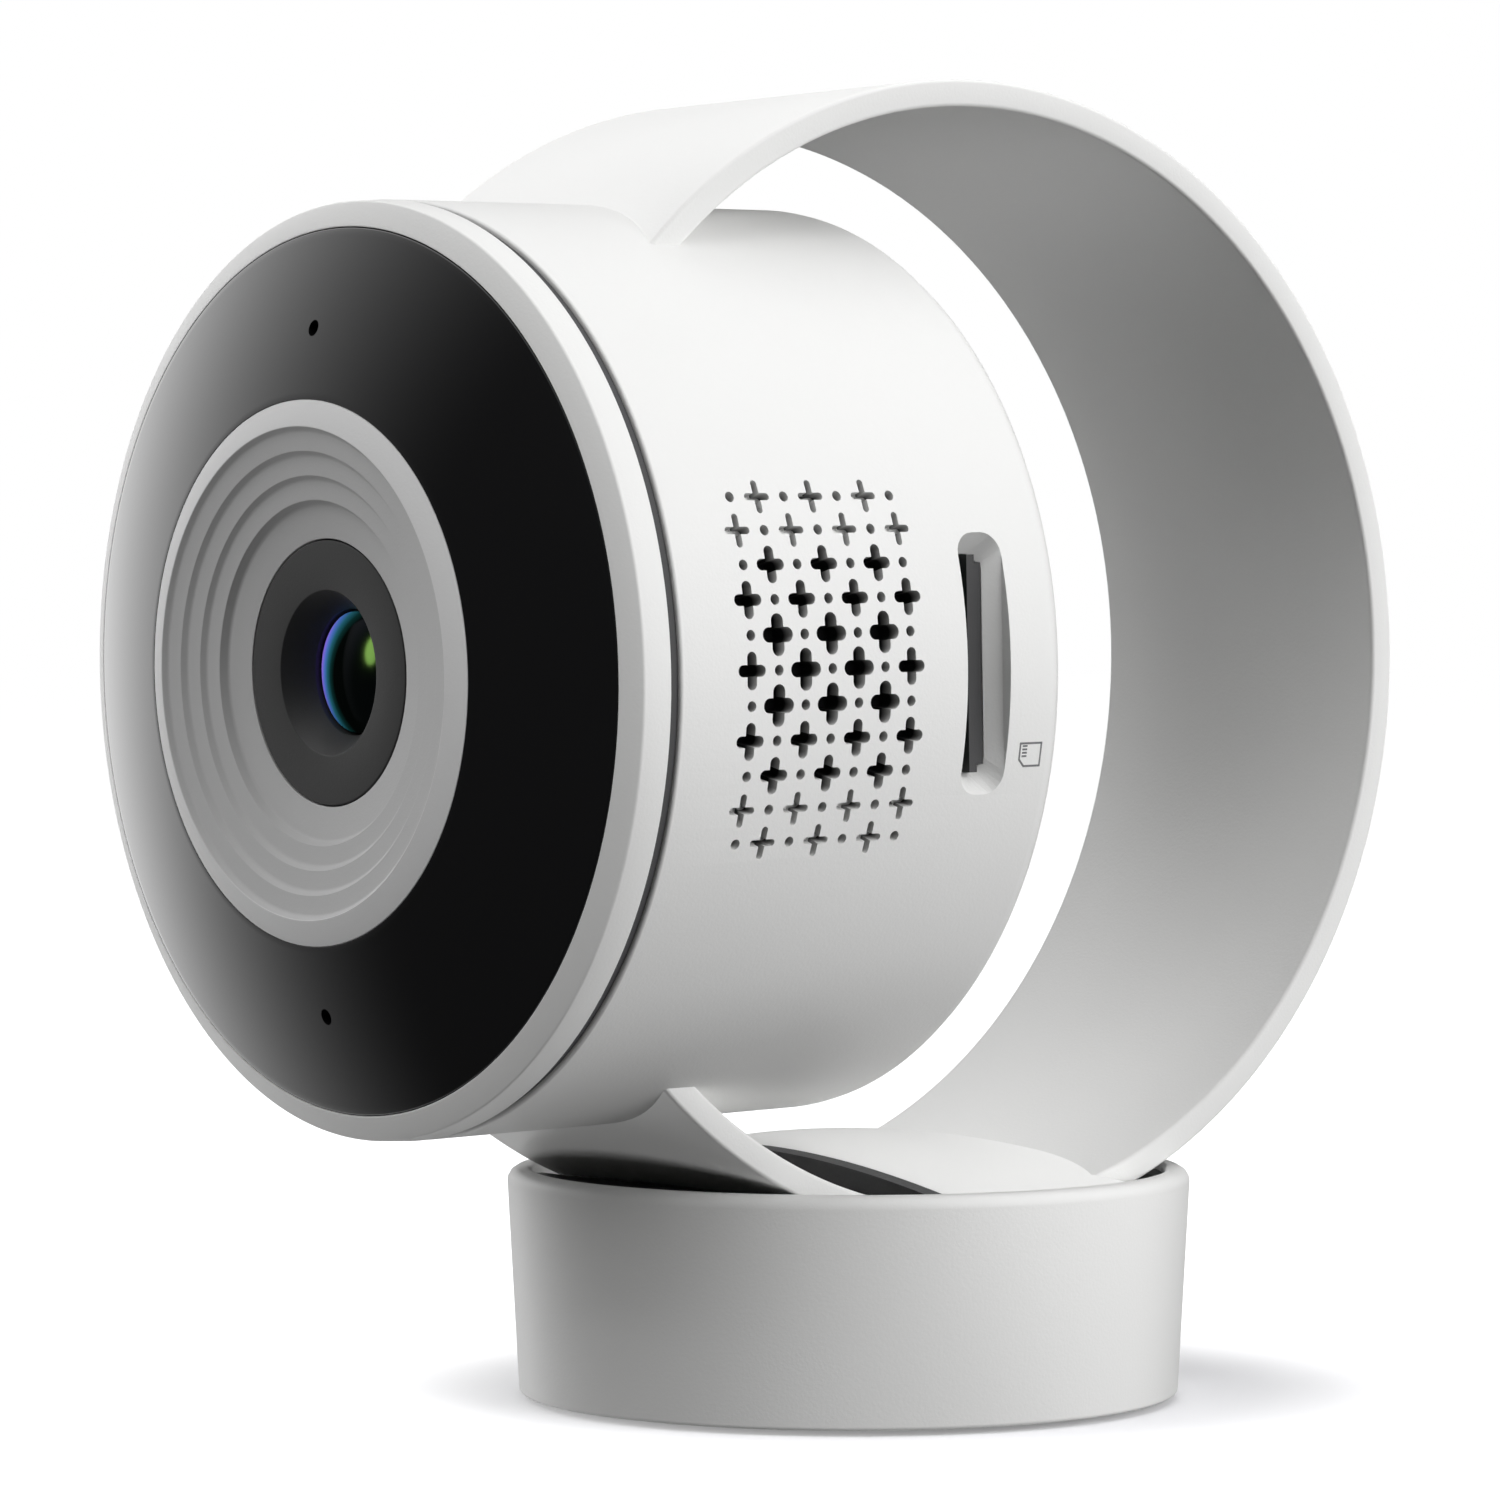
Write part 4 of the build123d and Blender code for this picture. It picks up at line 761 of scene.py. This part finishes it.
SEAM_DEPTH = 0.35  # gasket below the head's surface, kept shallow so its dark grey shows as painted shade in the seam
SEAM_SETBACK = 2.1
SEAM_FRONT_Y = BEZEL_Y + SEAM_SETBACK
BEZEL_TAPER = 0.15
BEZEL_RISE = 0.8
BEZEL_FACE = 1.8
BEZEL_EASE = 0.22
BEZEL_LIP_EASE = 0.08
PANEL_THICK = 1.5
PANEL_SHELF = 2.5
SPIGOT_WALL = 1.2
SPIGOT_LENGTH = 4.0

panel_r = head_r - BEZEL_TAPER - BEZEL_FACE
panel_edge_y = BEZEL_Y - BEZEL_RISE
shelf_y = panel_edge_y + PANEL_THICK
shelf_r = panel_r - PANEL_SHELF
spigot_end = SHELL_FRONT_Y + SPIGOT_LENGTH

# Silicone rubber, moulded: dark grey and dull, standing in as painted shade in the seam
gasket_seam_shade = grained(
    "silicone_rubber_seam_shade", "#4b4b4c", "#464647", grain=(0.3, 0.01), rough=(0.6, 0.75), IOR=1.42)
gasket = turned([
    (shell_in_r, SEAM_FRONT_Y + SEAT_GAP, 0), (head_r - SEAM_DEPTH, SEAM_FRONT_Y + SEAT_GAP, 0),
    (head_r - SEAM_DEPTH, SHELL_FRONT_Y - SEAT_GAP, 0), (shell_in_r, SHELL_FRONT_Y - SEAT_GAP, 0),
])
piece("seam_gasket_ring", moved(gasket, ALONG), "camera", gasket_seam_shade, "dark_rubber", "seam_gasket")
bezel = turned([
    (head_r, SEAM_FRONT_Y, BEZEL_LIP_EASE), (head_r - BEZEL_TAPER, BEZEL_Y, BEZEL_EASE),
    (panel_r + SEAT_GAP, panel_edge_y, BEZEL_LIP_EASE), (panel_r + SEAT_GAP, shelf_y, 0),
    (shelf_r, shelf_y, 0), (shelf_r, SEAM_FRONT_Y, 0), (shelf_r - SPIGOT_WALL, SEAM_FRONT_Y, 0),
    (shelf_r - SPIGOT_WALL, spigot_end, 0), (shell_in_r - SEAT_GAP, spigot_end, 0),
    (shell_in_r - SEAT_GAP, SEAM_FRONT_Y, 0),
], FINE_ROUND)
piece("front_bezel_moulding", moved(bezel, ALONG), "camera", white_abs, "white_abs", "front_bezel")


# Front panel
# Domed panel of black acrylic that lets infrared through, moulded with a polished face.
# Two pin holes, above and below the lens, serve the light sensor and the microphone.

PANEL_DOME_R = 88.0
PANEL_WIDTH = 11.55
PANEL_EASE = 0.12
PANEL_BORE_EASE = 0.03
PIN_HOLE_R = 0.55
PIN_HOLE_INSET = 6.75
PIN_HOLE_FACETS = 32

# Black acrylic, polished mould: deep black with a clear, slightly soft reflection
black_acrylic = grained(
    "black_acrylic_polished", "#1a1a1b", "#181819", grain=(0.5, 0.0004), rough=(0.10, 0.13), IOR=1.49)

panel_centre_y = panel_edge_y + sqrt(PANEL_DOME_R**2 - panel_r**2)
trim_r = panel_r - PANEL_WIDTH


def panel_y(radius):
    """Front of the panel at a distance from the head's axis."""
    return panel_centre_y - sqrt(PANEL_DOME_R**2 - radius**2)


panel_line = []
for step in range(DOME_STEPS + 1):
    radius = trim_r + PANEL_WIDTH * step / DOME_STEPS
    ease = {0: PANEL_BORE_EASE, DOME_STEPS: PANEL_EASE}.get(step, 0)
    panel_line.append((radius, panel_y(radius), ease))
panel_line += [(radius, along + PANEL_THICK, 0) for radius, along, _ in reversed(panel_line)]
panel = moved(turned(panel_line, FINE_ROUND), ALONG)
pin_holes = []
for side in (-1, 1):
    pin_hole = bar(PIN_HOLE_R, -head_r * 2, 0, PIN_HOLE_FACETS)
    pin_holes.append(moved(pin_hole, Matrix.Translation((0, 0, side * (panel_r - PIN_HOLE_INSET))) @ ALONG))
panel = carved(panel, pin_holes)
piece("front_panel_dome", panel, "camera", black_acrylic, "black_acrylic", "front_panel")


# Trim ring
# Grey ABS funnel with four terraces round the lens, clipped into the panel from behind by its flange.
# The terraces keep stray light out of the lens; their edges are just broken.

TRIM_LIP = 1.8
TRIM_RISE = 0.6  # the lip slopes up from the panel to its inner edge
TRIM_STEPS = 4
TRIM_INNER_SHARE = 0.3444
TRIM_DEPTH = 1.82
TRIM_RISER = 0.4  # height of a riser
TRIM_LAST_RISER = 0.6
TRIM_RUN = 0.3  # a riser leans inwards by this much
TRIM_FALL = 0.1  # a ledge falls inwards by this much
TRIM_FLANGE = 1.4
TRIM_BACK = 1.7
TRIM_GAP = 0.1
TRIM_SEAT = 0.02
TRIM_EASE = 0.06
TRIM_HOLLOW = 0.32  # rounding at the foot of each riser
HOOD_R = 8.95

trim_face_y = panel_y(trim_r)
lens_face_y = trim_face_y + TRIM_DEPTH
trim_bore = HOOD_R + TRIM_GAP
trim_rear_y = lens_face_y + TRIM_BACK
lip_r = trim_r - TRIM_LIP
terrace = (lip_r - trim_bore) * (1 - TRIM_INNER_SHARE) / (TRIM_STEPS - 1)
trim_line = [(trim_r - TRIM_SEAT, trim_face_y, TRIM_EASE)]
level_y = trim_face_y - TRIM_RISE
for step in range(TRIM_STEPS):
    edge = lip_r - step * terrace
    trim_line.append((edge, level_y, TRIM_EASE))
    level_y += TRIM_RISER if step < TRIM_STEPS - 1 else TRIM_LAST_RISER
    trim_line.append((edge - TRIM_RUN, level_y, TRIM_HOLLOW))
    level_y += TRIM_FALL
flange_r = trim_r + TRIM_FLANGE
trim_line += [
    (trim_bore, lens_face_y, TRIM_EASE), (trim_bore, trim_rear_y, 0), (flange_r, trim_rear_y, 0),
    (flange_r, panel_y(flange_r) + PANEL_THICK + SEAT_GAP, 0),
    (trim_r - TRIM_SEAT, panel_y(trim_r) + PANEL_THICK + SEAT_GAP, 0),
]
trim = moved(turned(trim_line, FINE_ROUND), ALONG)


def lip_painted_light(tree):
    """Painted light on the trim: 1 on the lip, 0 on the terraces."""
    radius = head_radius(tree, in_head(tree))
    return add(tree, "ShaderNodeMapRange",
               {"From Min": lip_r - TRIM_EASE, "From Max": lip_r, "Value": radius})


# ABS, pale grey, moulded with a fine matt grain
grey_abs = grained(
    "grey_abs_matt_moulded", "#cbcbcb", "#c7c7c7", grain=(0.2, 0.012), rough=(0.5, 0.62), IOR=1.53)
# On the lip the same grey is painted lighter, as painted light, so that the terraces below it stay darker as
# painted shade
tinted(grey_abs, "#e9e9e9", lip_painted_light)
piece("trim_ring_terraces", trim, "camera", grey_abs, "grey_abs", "trim_ring")


# Lens hood and front glass
# The hood is a dark ABS ring with a funnel, pushed over the lens barrel.
# The front glass is a convex lens with a multilayer coating, cemented in the barrel.

HOOD_MOUTH_R = 5.6
HOOD_THROAT_R = 4.3
FUNNEL_DEPTH = 2.0
HOOD_SEAT = 3.2
HOOD_SKIRT = 2.8
HOOD_EASE = 0.1
BARREL_R = 7.0
GLASS_R = 4.1
GLASS_EDGE = 1.4
GLASS_SEAT = 0.85  # rim of the glass in front of the barrel
GLASS_DOME_R = 9.0
# Colours of the painted sheen, a painted reflection at one side of the glass, by their share of the way from
# its middle spot to the far rim
PAINTED_SHEEN = [(0.0, "#020303"), (0.64, "#030504"), (0.71, "#0a2826"), (0.785, "#1f5764"), (0.865, "#436ab4"),
           (0.935, "#7468d2"), (1.0, "#8a6ad8")]
PAINTED_SHEEN_X = 3.2  # middle spot of the painted sheen, from the middle of the glass
PAINTED_SHEEN_Z = -0.6
PAINTED_SHEEN_REACH = 7.4
GLASS_GLOSS = 0.15
GLOSS_SHARES = (0.28, 0.45)  # the coating takes the gloss away between these slants

# ABS, dark grey, moulded with a fine grain that dulls it
dark_abs = grained(
    "dark_abs_fine_moulded", "#343434", "#303030", grain=(0.12, 0.008), rough=(0.45, 0.58), IOR=1.53)

barrel_front_y = lens_face_y + HOOD_SEAT
hood_rear_y = barrel_front_y + HOOD_SKIRT
hood = turned([
    (HOOD_MOUTH_R, lens_face_y, HOOD_EASE), (HOOD_R, lens_face_y, HOOD_EASE), (HOOD_R, hood_rear_y, 0),
    (BARREL_R + SEAT_GAP, hood_rear_y, 0), (BARREL_R + SEAT_GAP, barrel_front_y, 0),
    (HOOD_THROAT_R, barrel_front_y, 0), (HOOD_THROAT_R, lens_face_y + FUNNEL_DEPTH, HOOD_EASE),
])
piece("lens_hood_funnel", moved(hood, ALONG), "camera", dark_abs, "dark_abs", "lens_hood")

glass_edge_y = barrel_front_y - GLASS_SEAT
glass_centre_y = glass_edge_y + sqrt(GLASS_DOME_R**2 - GLASS_R**2)
glass_line = []
for step in range(DOME_STEPS + 1):
    radius = GLASS_R * step / DOME_STEPS
    glass_line.append((radius, glass_centre_y - sqrt(GLASS_DOME_R**2 - radius**2), 0))
glass_line += [(GLASS_R, glass_edge_y + GLASS_EDGE, 0), (0, glass_edge_y + GLASS_EDGE, 0)]
glass = moved(turned(glass_line), ALONG)


def coated_glass():
    """Dark lens glass with a painted reflection: black in the middle, turning teal, blue and violet towards
    one side.
    """
    made = bpy.data.materials.new("optical_glass_painted_sheen")
    tree = blank(made)
    place = add(tree, "ShaderNodeTexCoord").outputs["Object"]
    sheen_middle = HEAD_PLACE @ (Vector((PAINTED_SHEEN_X, glass_edge_y, PAINTED_SHEEN_Z)) * MM)
    far = add(tree, "ShaderNodeVectorMath", {"operation": "DISTANCE", 0: place, 1: sheen_middle}).outputs["Value"]
    share = add(tree, "ShaderNodeMath", {"operation": "DIVIDE", 0: far, 1: PAINTED_SHEEN_REACH * MM})
    sheen_colour = add(tree, "ShaderNodeValToRGB", {0: share})
    ramp = sheen_colour.color_ramp.elements
    for position, _ in PAINTED_SHEEN[1:-1]:
        ramp.new(position)
    for stop, (_, code) in zip(ramp, PAINTED_SHEEN):
        stop.color = linear(code)
    slant = add(tree, "ShaderNodeLayerWeight", {"Blend": 0.5}).outputs["Facing"]
    gloss = add(tree, "ShaderNodeMapRange", {
        "From Min": GLOSS_SHARES[0], "From Max": GLOSS_SHARES[1], "To Min": GLASS_GLOSS, "To Max": 0.0,
        "Value": slant})
    shader = add(tree, "ShaderNodeBsdfPrincipled", {
        "Roughness": 0.13, "IOR": 1.6, "Specular Tint": linear("#b8c4ff"),
        "Base Color": sheen_colour, "Specular IOR Level": gloss})
    add(tree, "ShaderNodeOutputMaterial", {"Surface": shader})
    return made


# Optical glass, polished: black in the middle, with a coloured sheen at one side that is a painted reflection
glass_painted_sheen = coated_glass()
lens_glass = piece("lens_front_glass", glass, "camera", glass_painted_sheen, "coated_glass", "lens_front")


# Rear inlet and reset button
# The power inlet is a drawn steel shell with a contact tongue, soldered to the main board behind its mouth.
# The reset button is a grey ABS plunger that stands just below the rear face.

INLET = (7.6, 2.9, 0.725)  # width, height and corner radius
INLET_WALL = 0.35
INLET_SINK = 0.5
TONGUE_X = 3.8
TONGUE_Z = 0.7
TONGUE_SINK_SHARE = 0.25  # tongue below the mouth, by the height of the inlet
RESET_R = 1.5
RESET_EASE = 0.25
RESET_STEM = 4.6  # plunger from the switch to its top
RESET_FLANGE = 0.8
RESET_FACETS = 64

# Tin-plated steel, drawn: bright but not polished
tinned_steel = grained(
    "tinned_steel_drawn", "#c9c9cb", "#bdbdc0", grain=(0.2, 0.004), rough=(0.22, 0.36), Metallic=1.0)

inlet_low_y = socket_front_y
inlet_top_y = HEAD_REAR_Y - INLET_SINK
inlet_room_y = (inlet_low_y + inlet_top_y) / 2
inlet = moved(prism(*INLET, inlet_low_y, inlet_top_y), AT_INLET)
inlet_bore = (INLET[0] - 2 * INLET_WALL, INLET[1] - 2 * INLET_WALL, INLET[2] - INLET_WALL)
inlet_room = prism(*inlet_bore, inlet_room_y, head_r)
contact = block((-TONGUE_X / 2, inlet_low_y, INLET_Z - TONGUE_Z / 2),
                (TONGUE_X / 2, inlet_top_y - TONGUE_SINK_SHARE * INLET[1], INLET_Z + TONGUE_Z / 2))
inlet = carved(carved(inlet, [moved(inlet_room, AT_INLET)]), [contact], "UNION")
piece("power_inlet_shell", inlet, "camera", tinned_steel, "tinned_shield", "power_inlet")

flange_end_y = rear_wall_y - RUN_GAP
reset = turned([
    (0, inlet_top_y, 0), (RESET_R, inlet_top_y, RESET_EASE), (RESET_R, flange_end_y, 0),
    (RESET_R + RESET_FLANGE, flange_end_y, 0), (RESET_R + RESET_FLANGE, flange_end_y - RESET_FLANGE, 0),
    (RESET_R, flange_end_y - RESET_FLANGE, 0), (RESET_R, inlet_top_y - RESET_STEM, 0),
    (0, inlet_top_y - RESET_STEM, 0),
], RESET_FACETS)
piece("reset_button_plunger", moved(reset, AT_RESET), "reset", grey_abs, "grey_abs", "reset_button")


# Inner pieces
# What the shells hide: the weight and cradle, the clamps and screws, lens barrel, filter, boards and speaker.
# They keep the frame's own shapes, each in the finish of its real material, save the ring cradle, whose dark
# grey is painted shade in the gaps round the band.


def give(finish, *names):
    """Gives pieces of the frame their finish."""
    for name in names:
        nodes[name].data.materials.clear()
        nodes[name].data.materials.append(finish)


# the ring cradle's dark grey is painted shade, so the gaps round the band look dark
give(dark_abs, "base_plate", "ring_cradle", "band_clamps", "lens_barrel", "lens_mount", "filter_frame",
     "filter_solenoid", "speaker_frame")
give(rubber_and_pocket_shade, "friction_pads", "mic_boot", "speaker_gasket")
give(tinned_steel, "wifi_module", "microphone")
# the rear lens takes the same glass with its painted sheen
give(glass_painted_sheen, "lens_rear")
# Zinc-plated steel: pale bluish grey with a dull shine
give(grained("zinc_plated_steel", "#b9bcc2", "#a9acb3", grain=(0.6, 0.01), rough=(0.28, 0.42), Metallic=1.0),
     "base_weight", "base_screws", "saddle_screws", "clamp_screws", "board_screws")
# Glass-fibre board under solder resist: green, with a lacquer's gloss
solder_resist = grained(
    "epoxy_glass_board_green_resist", "#1d5a38", "#184c30", grain=(0.4, 0.006), rough=(0.28, 0.4), IOR=1.55)
give(solder_resist, "camera_board", "main_board", "ir_board")
# Moulded epoxy: black and dull
give(grained("moulded_epoxy_black", "#262627", "#202021", grain=(0.1, 0.006), rough=(0.5, 0.62)),
     "image_sensor", "main_chip", "reset_switch")
# Turned brass: yellow and bright
give(grained("brass_turned", "#c9a45a", "#b8944e", grain=(0.1, 0.006), rough=(0.25, 0.38), Metallic=1.0),
     "board_spacers")
# Polyimide film: amber and smooth
give(grained("polyimide_film_amber", "#b5792a", "#a56d24", grain=(0.5, 0.004), rough=(0.3, 0.42), IOR=1.7),
     "antenna", "ribbon_cable", "speaker_cone")
# Cast epoxy: pale and glossy
give(grained("clear_epoxy_cast", "#c6c8d2", "#bcbec8", grain=(0.8, 0.002), rough=(0.06, 0.12), IOR=1.55),
     "ir_leds", "light_sensor")
# Polished filter glass: pale blue with a clear shine
give(grained("filter_glass_polished", "#9cc8d0", "#8fbcc6", grain=(1, 0.0005), rough=(0.03, 0.06), IOR=1.52),
     "filter_glass")
# Nickel-plated iron: warm grey with a soft shine
give(grained("nickel_plated_iron", "#a8a6a2", "#989692", grain=(0.3, 0.006), rough=(0.25, 0.4), Metallic=1.0),
     "speaker_magnet")
# Woven polyester cloth: black, without shine
give(grained("polyester_cloth_black", "#1b1b1c", "#141415", grain=(0.2, 0.05), rough=(0.75, 0.9)),
     "speaker_mesh")


# Camera, floor and light
# A long lens at the photograph's angle, and white paper that glows from a hand's width round the base on.
# A strong softbox at the right, weaker ones on the other sides, and cards that light one piece alone.

CAMERA_AZIMUTH = radians(51.08)
CAMERA_PITCH = radians(1.089)
CAMERA_PLACE = (337.24, -281.43, 54.90)
CAMERA_LENS = 146.2
CAMERA_NEAR = 10.0
FLOOR_HALF = 6000.0
FLOOR_THICK = 6.0
GLOW_MIDDLE = (0.0, 6.3, 0.0)  # the painted shadow on the paper is darkest just behind the base's middle
GLOW_NEAR = 0.22  # its own glow there, in the painted shadow
GLOW_FROM = 22.0
GLOW_TO = 48.0
# Lights: direction from the object, side in metres, power in watts
AIM = Vector((0, -0.015, 0.05))
SOFTBOX_DISTANCE = 0.8
SOFTBOXES = {
    "right_softbox": ((0.95, 0.25, 0.25), 0.6, 5.6),
    "top_right_softbox": ((0.4, 0.1, 0.9), 0.4, 1.1),
    "front_high_softbox": ((0.1, -0.65, 0.75), 0.5, 1.75),
    "left_high_softbox": ((-0.75, -0.3, 0.6), 0.5, 1.4),
    "front_softbox": ((-0.19, -0.89, 0.40), 0.3, 0.72),
    "low_front_reflector": ((-0.3, -0.8, -0.5), 0.67, 1.23),
    "rear_softbox": ((-0.3, 0.8, 0.5), 0.6, 0.5),
}
# The ring has cards of its own in place of two of these, so that its inside stays in shade
OFF_THE_RING = ("right_softbox", "low_front_reflector")
RING_CARDS = {
    "ring_top_card": ((-0.35, 0.05, 0.95), 0.4, 1.7),
    "ring_low_card": ((0.05, -0.85, -0.5), 0.3, 1.1),
    "ring_right_card": ((0.95, 0.5, 0.32), 0.3, 5.0),
}
SADDLE_CARD = ((0.7, 0.5, 0.5), 0.3, 2.5)
# Two cards for the lens glass, with their colours: one shows in it, the other lights its painted sheen
LENS_CARDS = {
    "glint_card": ((-0.36, -0.906, 0.222), 0.2, 4.2, "#c8ff66"),
    "lens_fill_card": ((0.25, -0.95, 0.15), 0.3, 5.0, "#ffffff"),
}
CARD_STRETCH = 1.4  # height of these two by their width
# The backdrop in reflections: direction of a fade, cosines where it starts and ends, strengths there
BACKDROP_FADES = [
    ((-0.322, 0.884, 0.339), -0.5, 0.47, 0.03, 2.25),
    ((-0.55, 0.83, 0.0), 0.62, 0.93, 1.0, 0.0),
]


def studio_floor():
    """Seamless white paper that glows white from a hand's width on, with a painted soft shadow by the base
    where its glow is weaker.
    """
    made = bpy.data.materials.new("white_studio_paper")
    tree = blank(made)
    place = add(tree, "ShaderNodeTexCoord").outputs["Object"]
    pulp = add(tree, "ShaderNodeTexNoise", {"Scale": 1 / (CLOUD * MM), "Detail": 2.0, "Vector": place})
    shade = add(tree, "ShaderNodeMix",
                {"data_type": "RGBA", 0: pulp, 6: linear("#efeff2"), 7: linear("#ededf1")})
    middle = Vector(GLOW_MIDDLE) * MM
    far = add(tree, "ShaderNodeVectorMath", {"operation": "DISTANCE", 0: place, 1: middle}).outputs["Value"]
    glow = add(tree, "ShaderNodeMapRange", {
        "interpolation_type": "SMOOTHSTEP", "From Min": GLOW_FROM * MM, "From Max": GLOW_TO * MM,
        "To Min": GLOW_NEAR, "To Max": 1.0, "Value": far})
    shader = add(tree, "ShaderNodeBsdfPrincipled", {
        "Roughness": 0.9, "Specular IOR Level": 0.0, "Emission Color": linear("#ffffff"),
        "Base Color": shade.outputs[2], "Emission Strength": glow})
    add(tree, "ShaderNodeOutputMaterial", {"Surface": shader})
    return made


def linked(name, thing, state="INCLUDE"):
    """Collection that lets a light reach one thing alone, or all but that."""
    made = bpy.data.collections.new(name)
    made.objects.link(thing)
    made.collection_objects[0].light_linking.link_state = state
    return made


def softbox(name, direction, side, power, reaches=None):
    """Square area light that points at the object and stays out of its reflections."""
    data = bpy.data.lights.new(name, "AREA")
    data.size = side
    data.energy = power
    made = put(name, data)
    way = Vector(direction).normalized()
    made.location = AIM + way * SOFTBOX_DISTANCE
    made.rotation_euler = way.to_track_quat("Z", "Y").to_euler()
    made.visible_glossy = False
    made.light_linking.receiver_collection = reaches
    return made


def studio_world():
    """White backdrop to the eye; in reflections it is bright at the left and fades to front and rear."""
    world = bpy.data.worlds.new("studio_backdrop")
    tree = blank(world)
    path = add(tree, "ShaderNodeLightPath").outputs
    way = add(tree, "ShaderNodeTexCoord").outputs["Generated"]
    strength = path["Is Glossy Ray"]
    for direction, start, end, dark, bright in BACKDROP_FADES:
        towards = add(tree, "ShaderNodeVectorMath", {"operation": "DOT_PRODUCT", 0: way, 1: direction})
        fade = add(tree, "ShaderNodeMapRange", {
            "interpolation_type": "SMOOTHSTEP", "From Min": start, "From Max": end,
            "To Min": dark, "To Max": bright, "Value": towards.outputs["Value"]})
        strength = add(tree, "ShaderNodeMath", {"operation": "MULTIPLY", 0: strength, 1: fade})
    total = add(tree, "ShaderNodeMath", {"operation": "ADD", 0: strength, 1: path["Is Camera Ray"]})
    shader = add(tree, "ShaderNodeBackground", {"Color": linear("#ffffff"), "Strength": total})
    add(tree, "ShaderNodeOutputWorld", {"Surface": shader})
    return world


lens_data = bpy.data.cameras.new("studio_camera")
lens_data.lens = CAMERA_LENS
lens_data.clip_start = CAMERA_NEAR * MM
camera = put("studio_camera", lens_data)
camera.location = Vector(CAMERA_PLACE) * MM
camera.rotation_euler = (pi / 2 - CAMERA_PITCH, 0, CAMERA_AZIMUTH)
bpy.context.scene.camera = camera
bpy.context.scene.view_settings.view_transform = "Standard"

floor_mesh = block((-FLOOR_HALF, -FLOOR_HALF, -FLOOR_THICK), (FLOOR_HALF, FLOOR_HALF, 0))
floor_mesh.transform(Matrix.Scale(MM, 4))
floor_mesh.materials.append(studio_floor())
floor = put("floor", floor_mesh)
floor.visible_diffuse = False
floor.visible_glossy = False
floor.visible_shadow = False

not_ring = linked("not_ring", ring_piece, "EXCLUDE")
for name, light in SOFTBOXES.items():
    softbox(name, *light, not_ring if name in OFF_THE_RING else None)
ring_only = linked("ring_only", ring_piece)
for name, light in RING_CARDS.items():
    softbox(name, *light, ring_only)
softbox("saddle_card", *SADDLE_CARD, linked("saddle_only", saddle_piece))
lens_only = linked("lens_only", lens_glass)
for name, (direction, side, power, colour) in LENS_CARDS.items():
    card = softbox(name, direction, side, power, lens_only)
    card.data.color = linear(colour)[:3]
    card.data.shape = "ELLIPSE"
    card.data.size_y = CARD_STRETCH * side
    card.visible_glossy = name == "glint_card"
    card.visible_diffuse = name != "glint_card"
bpy.context.scene.world = studio_world()
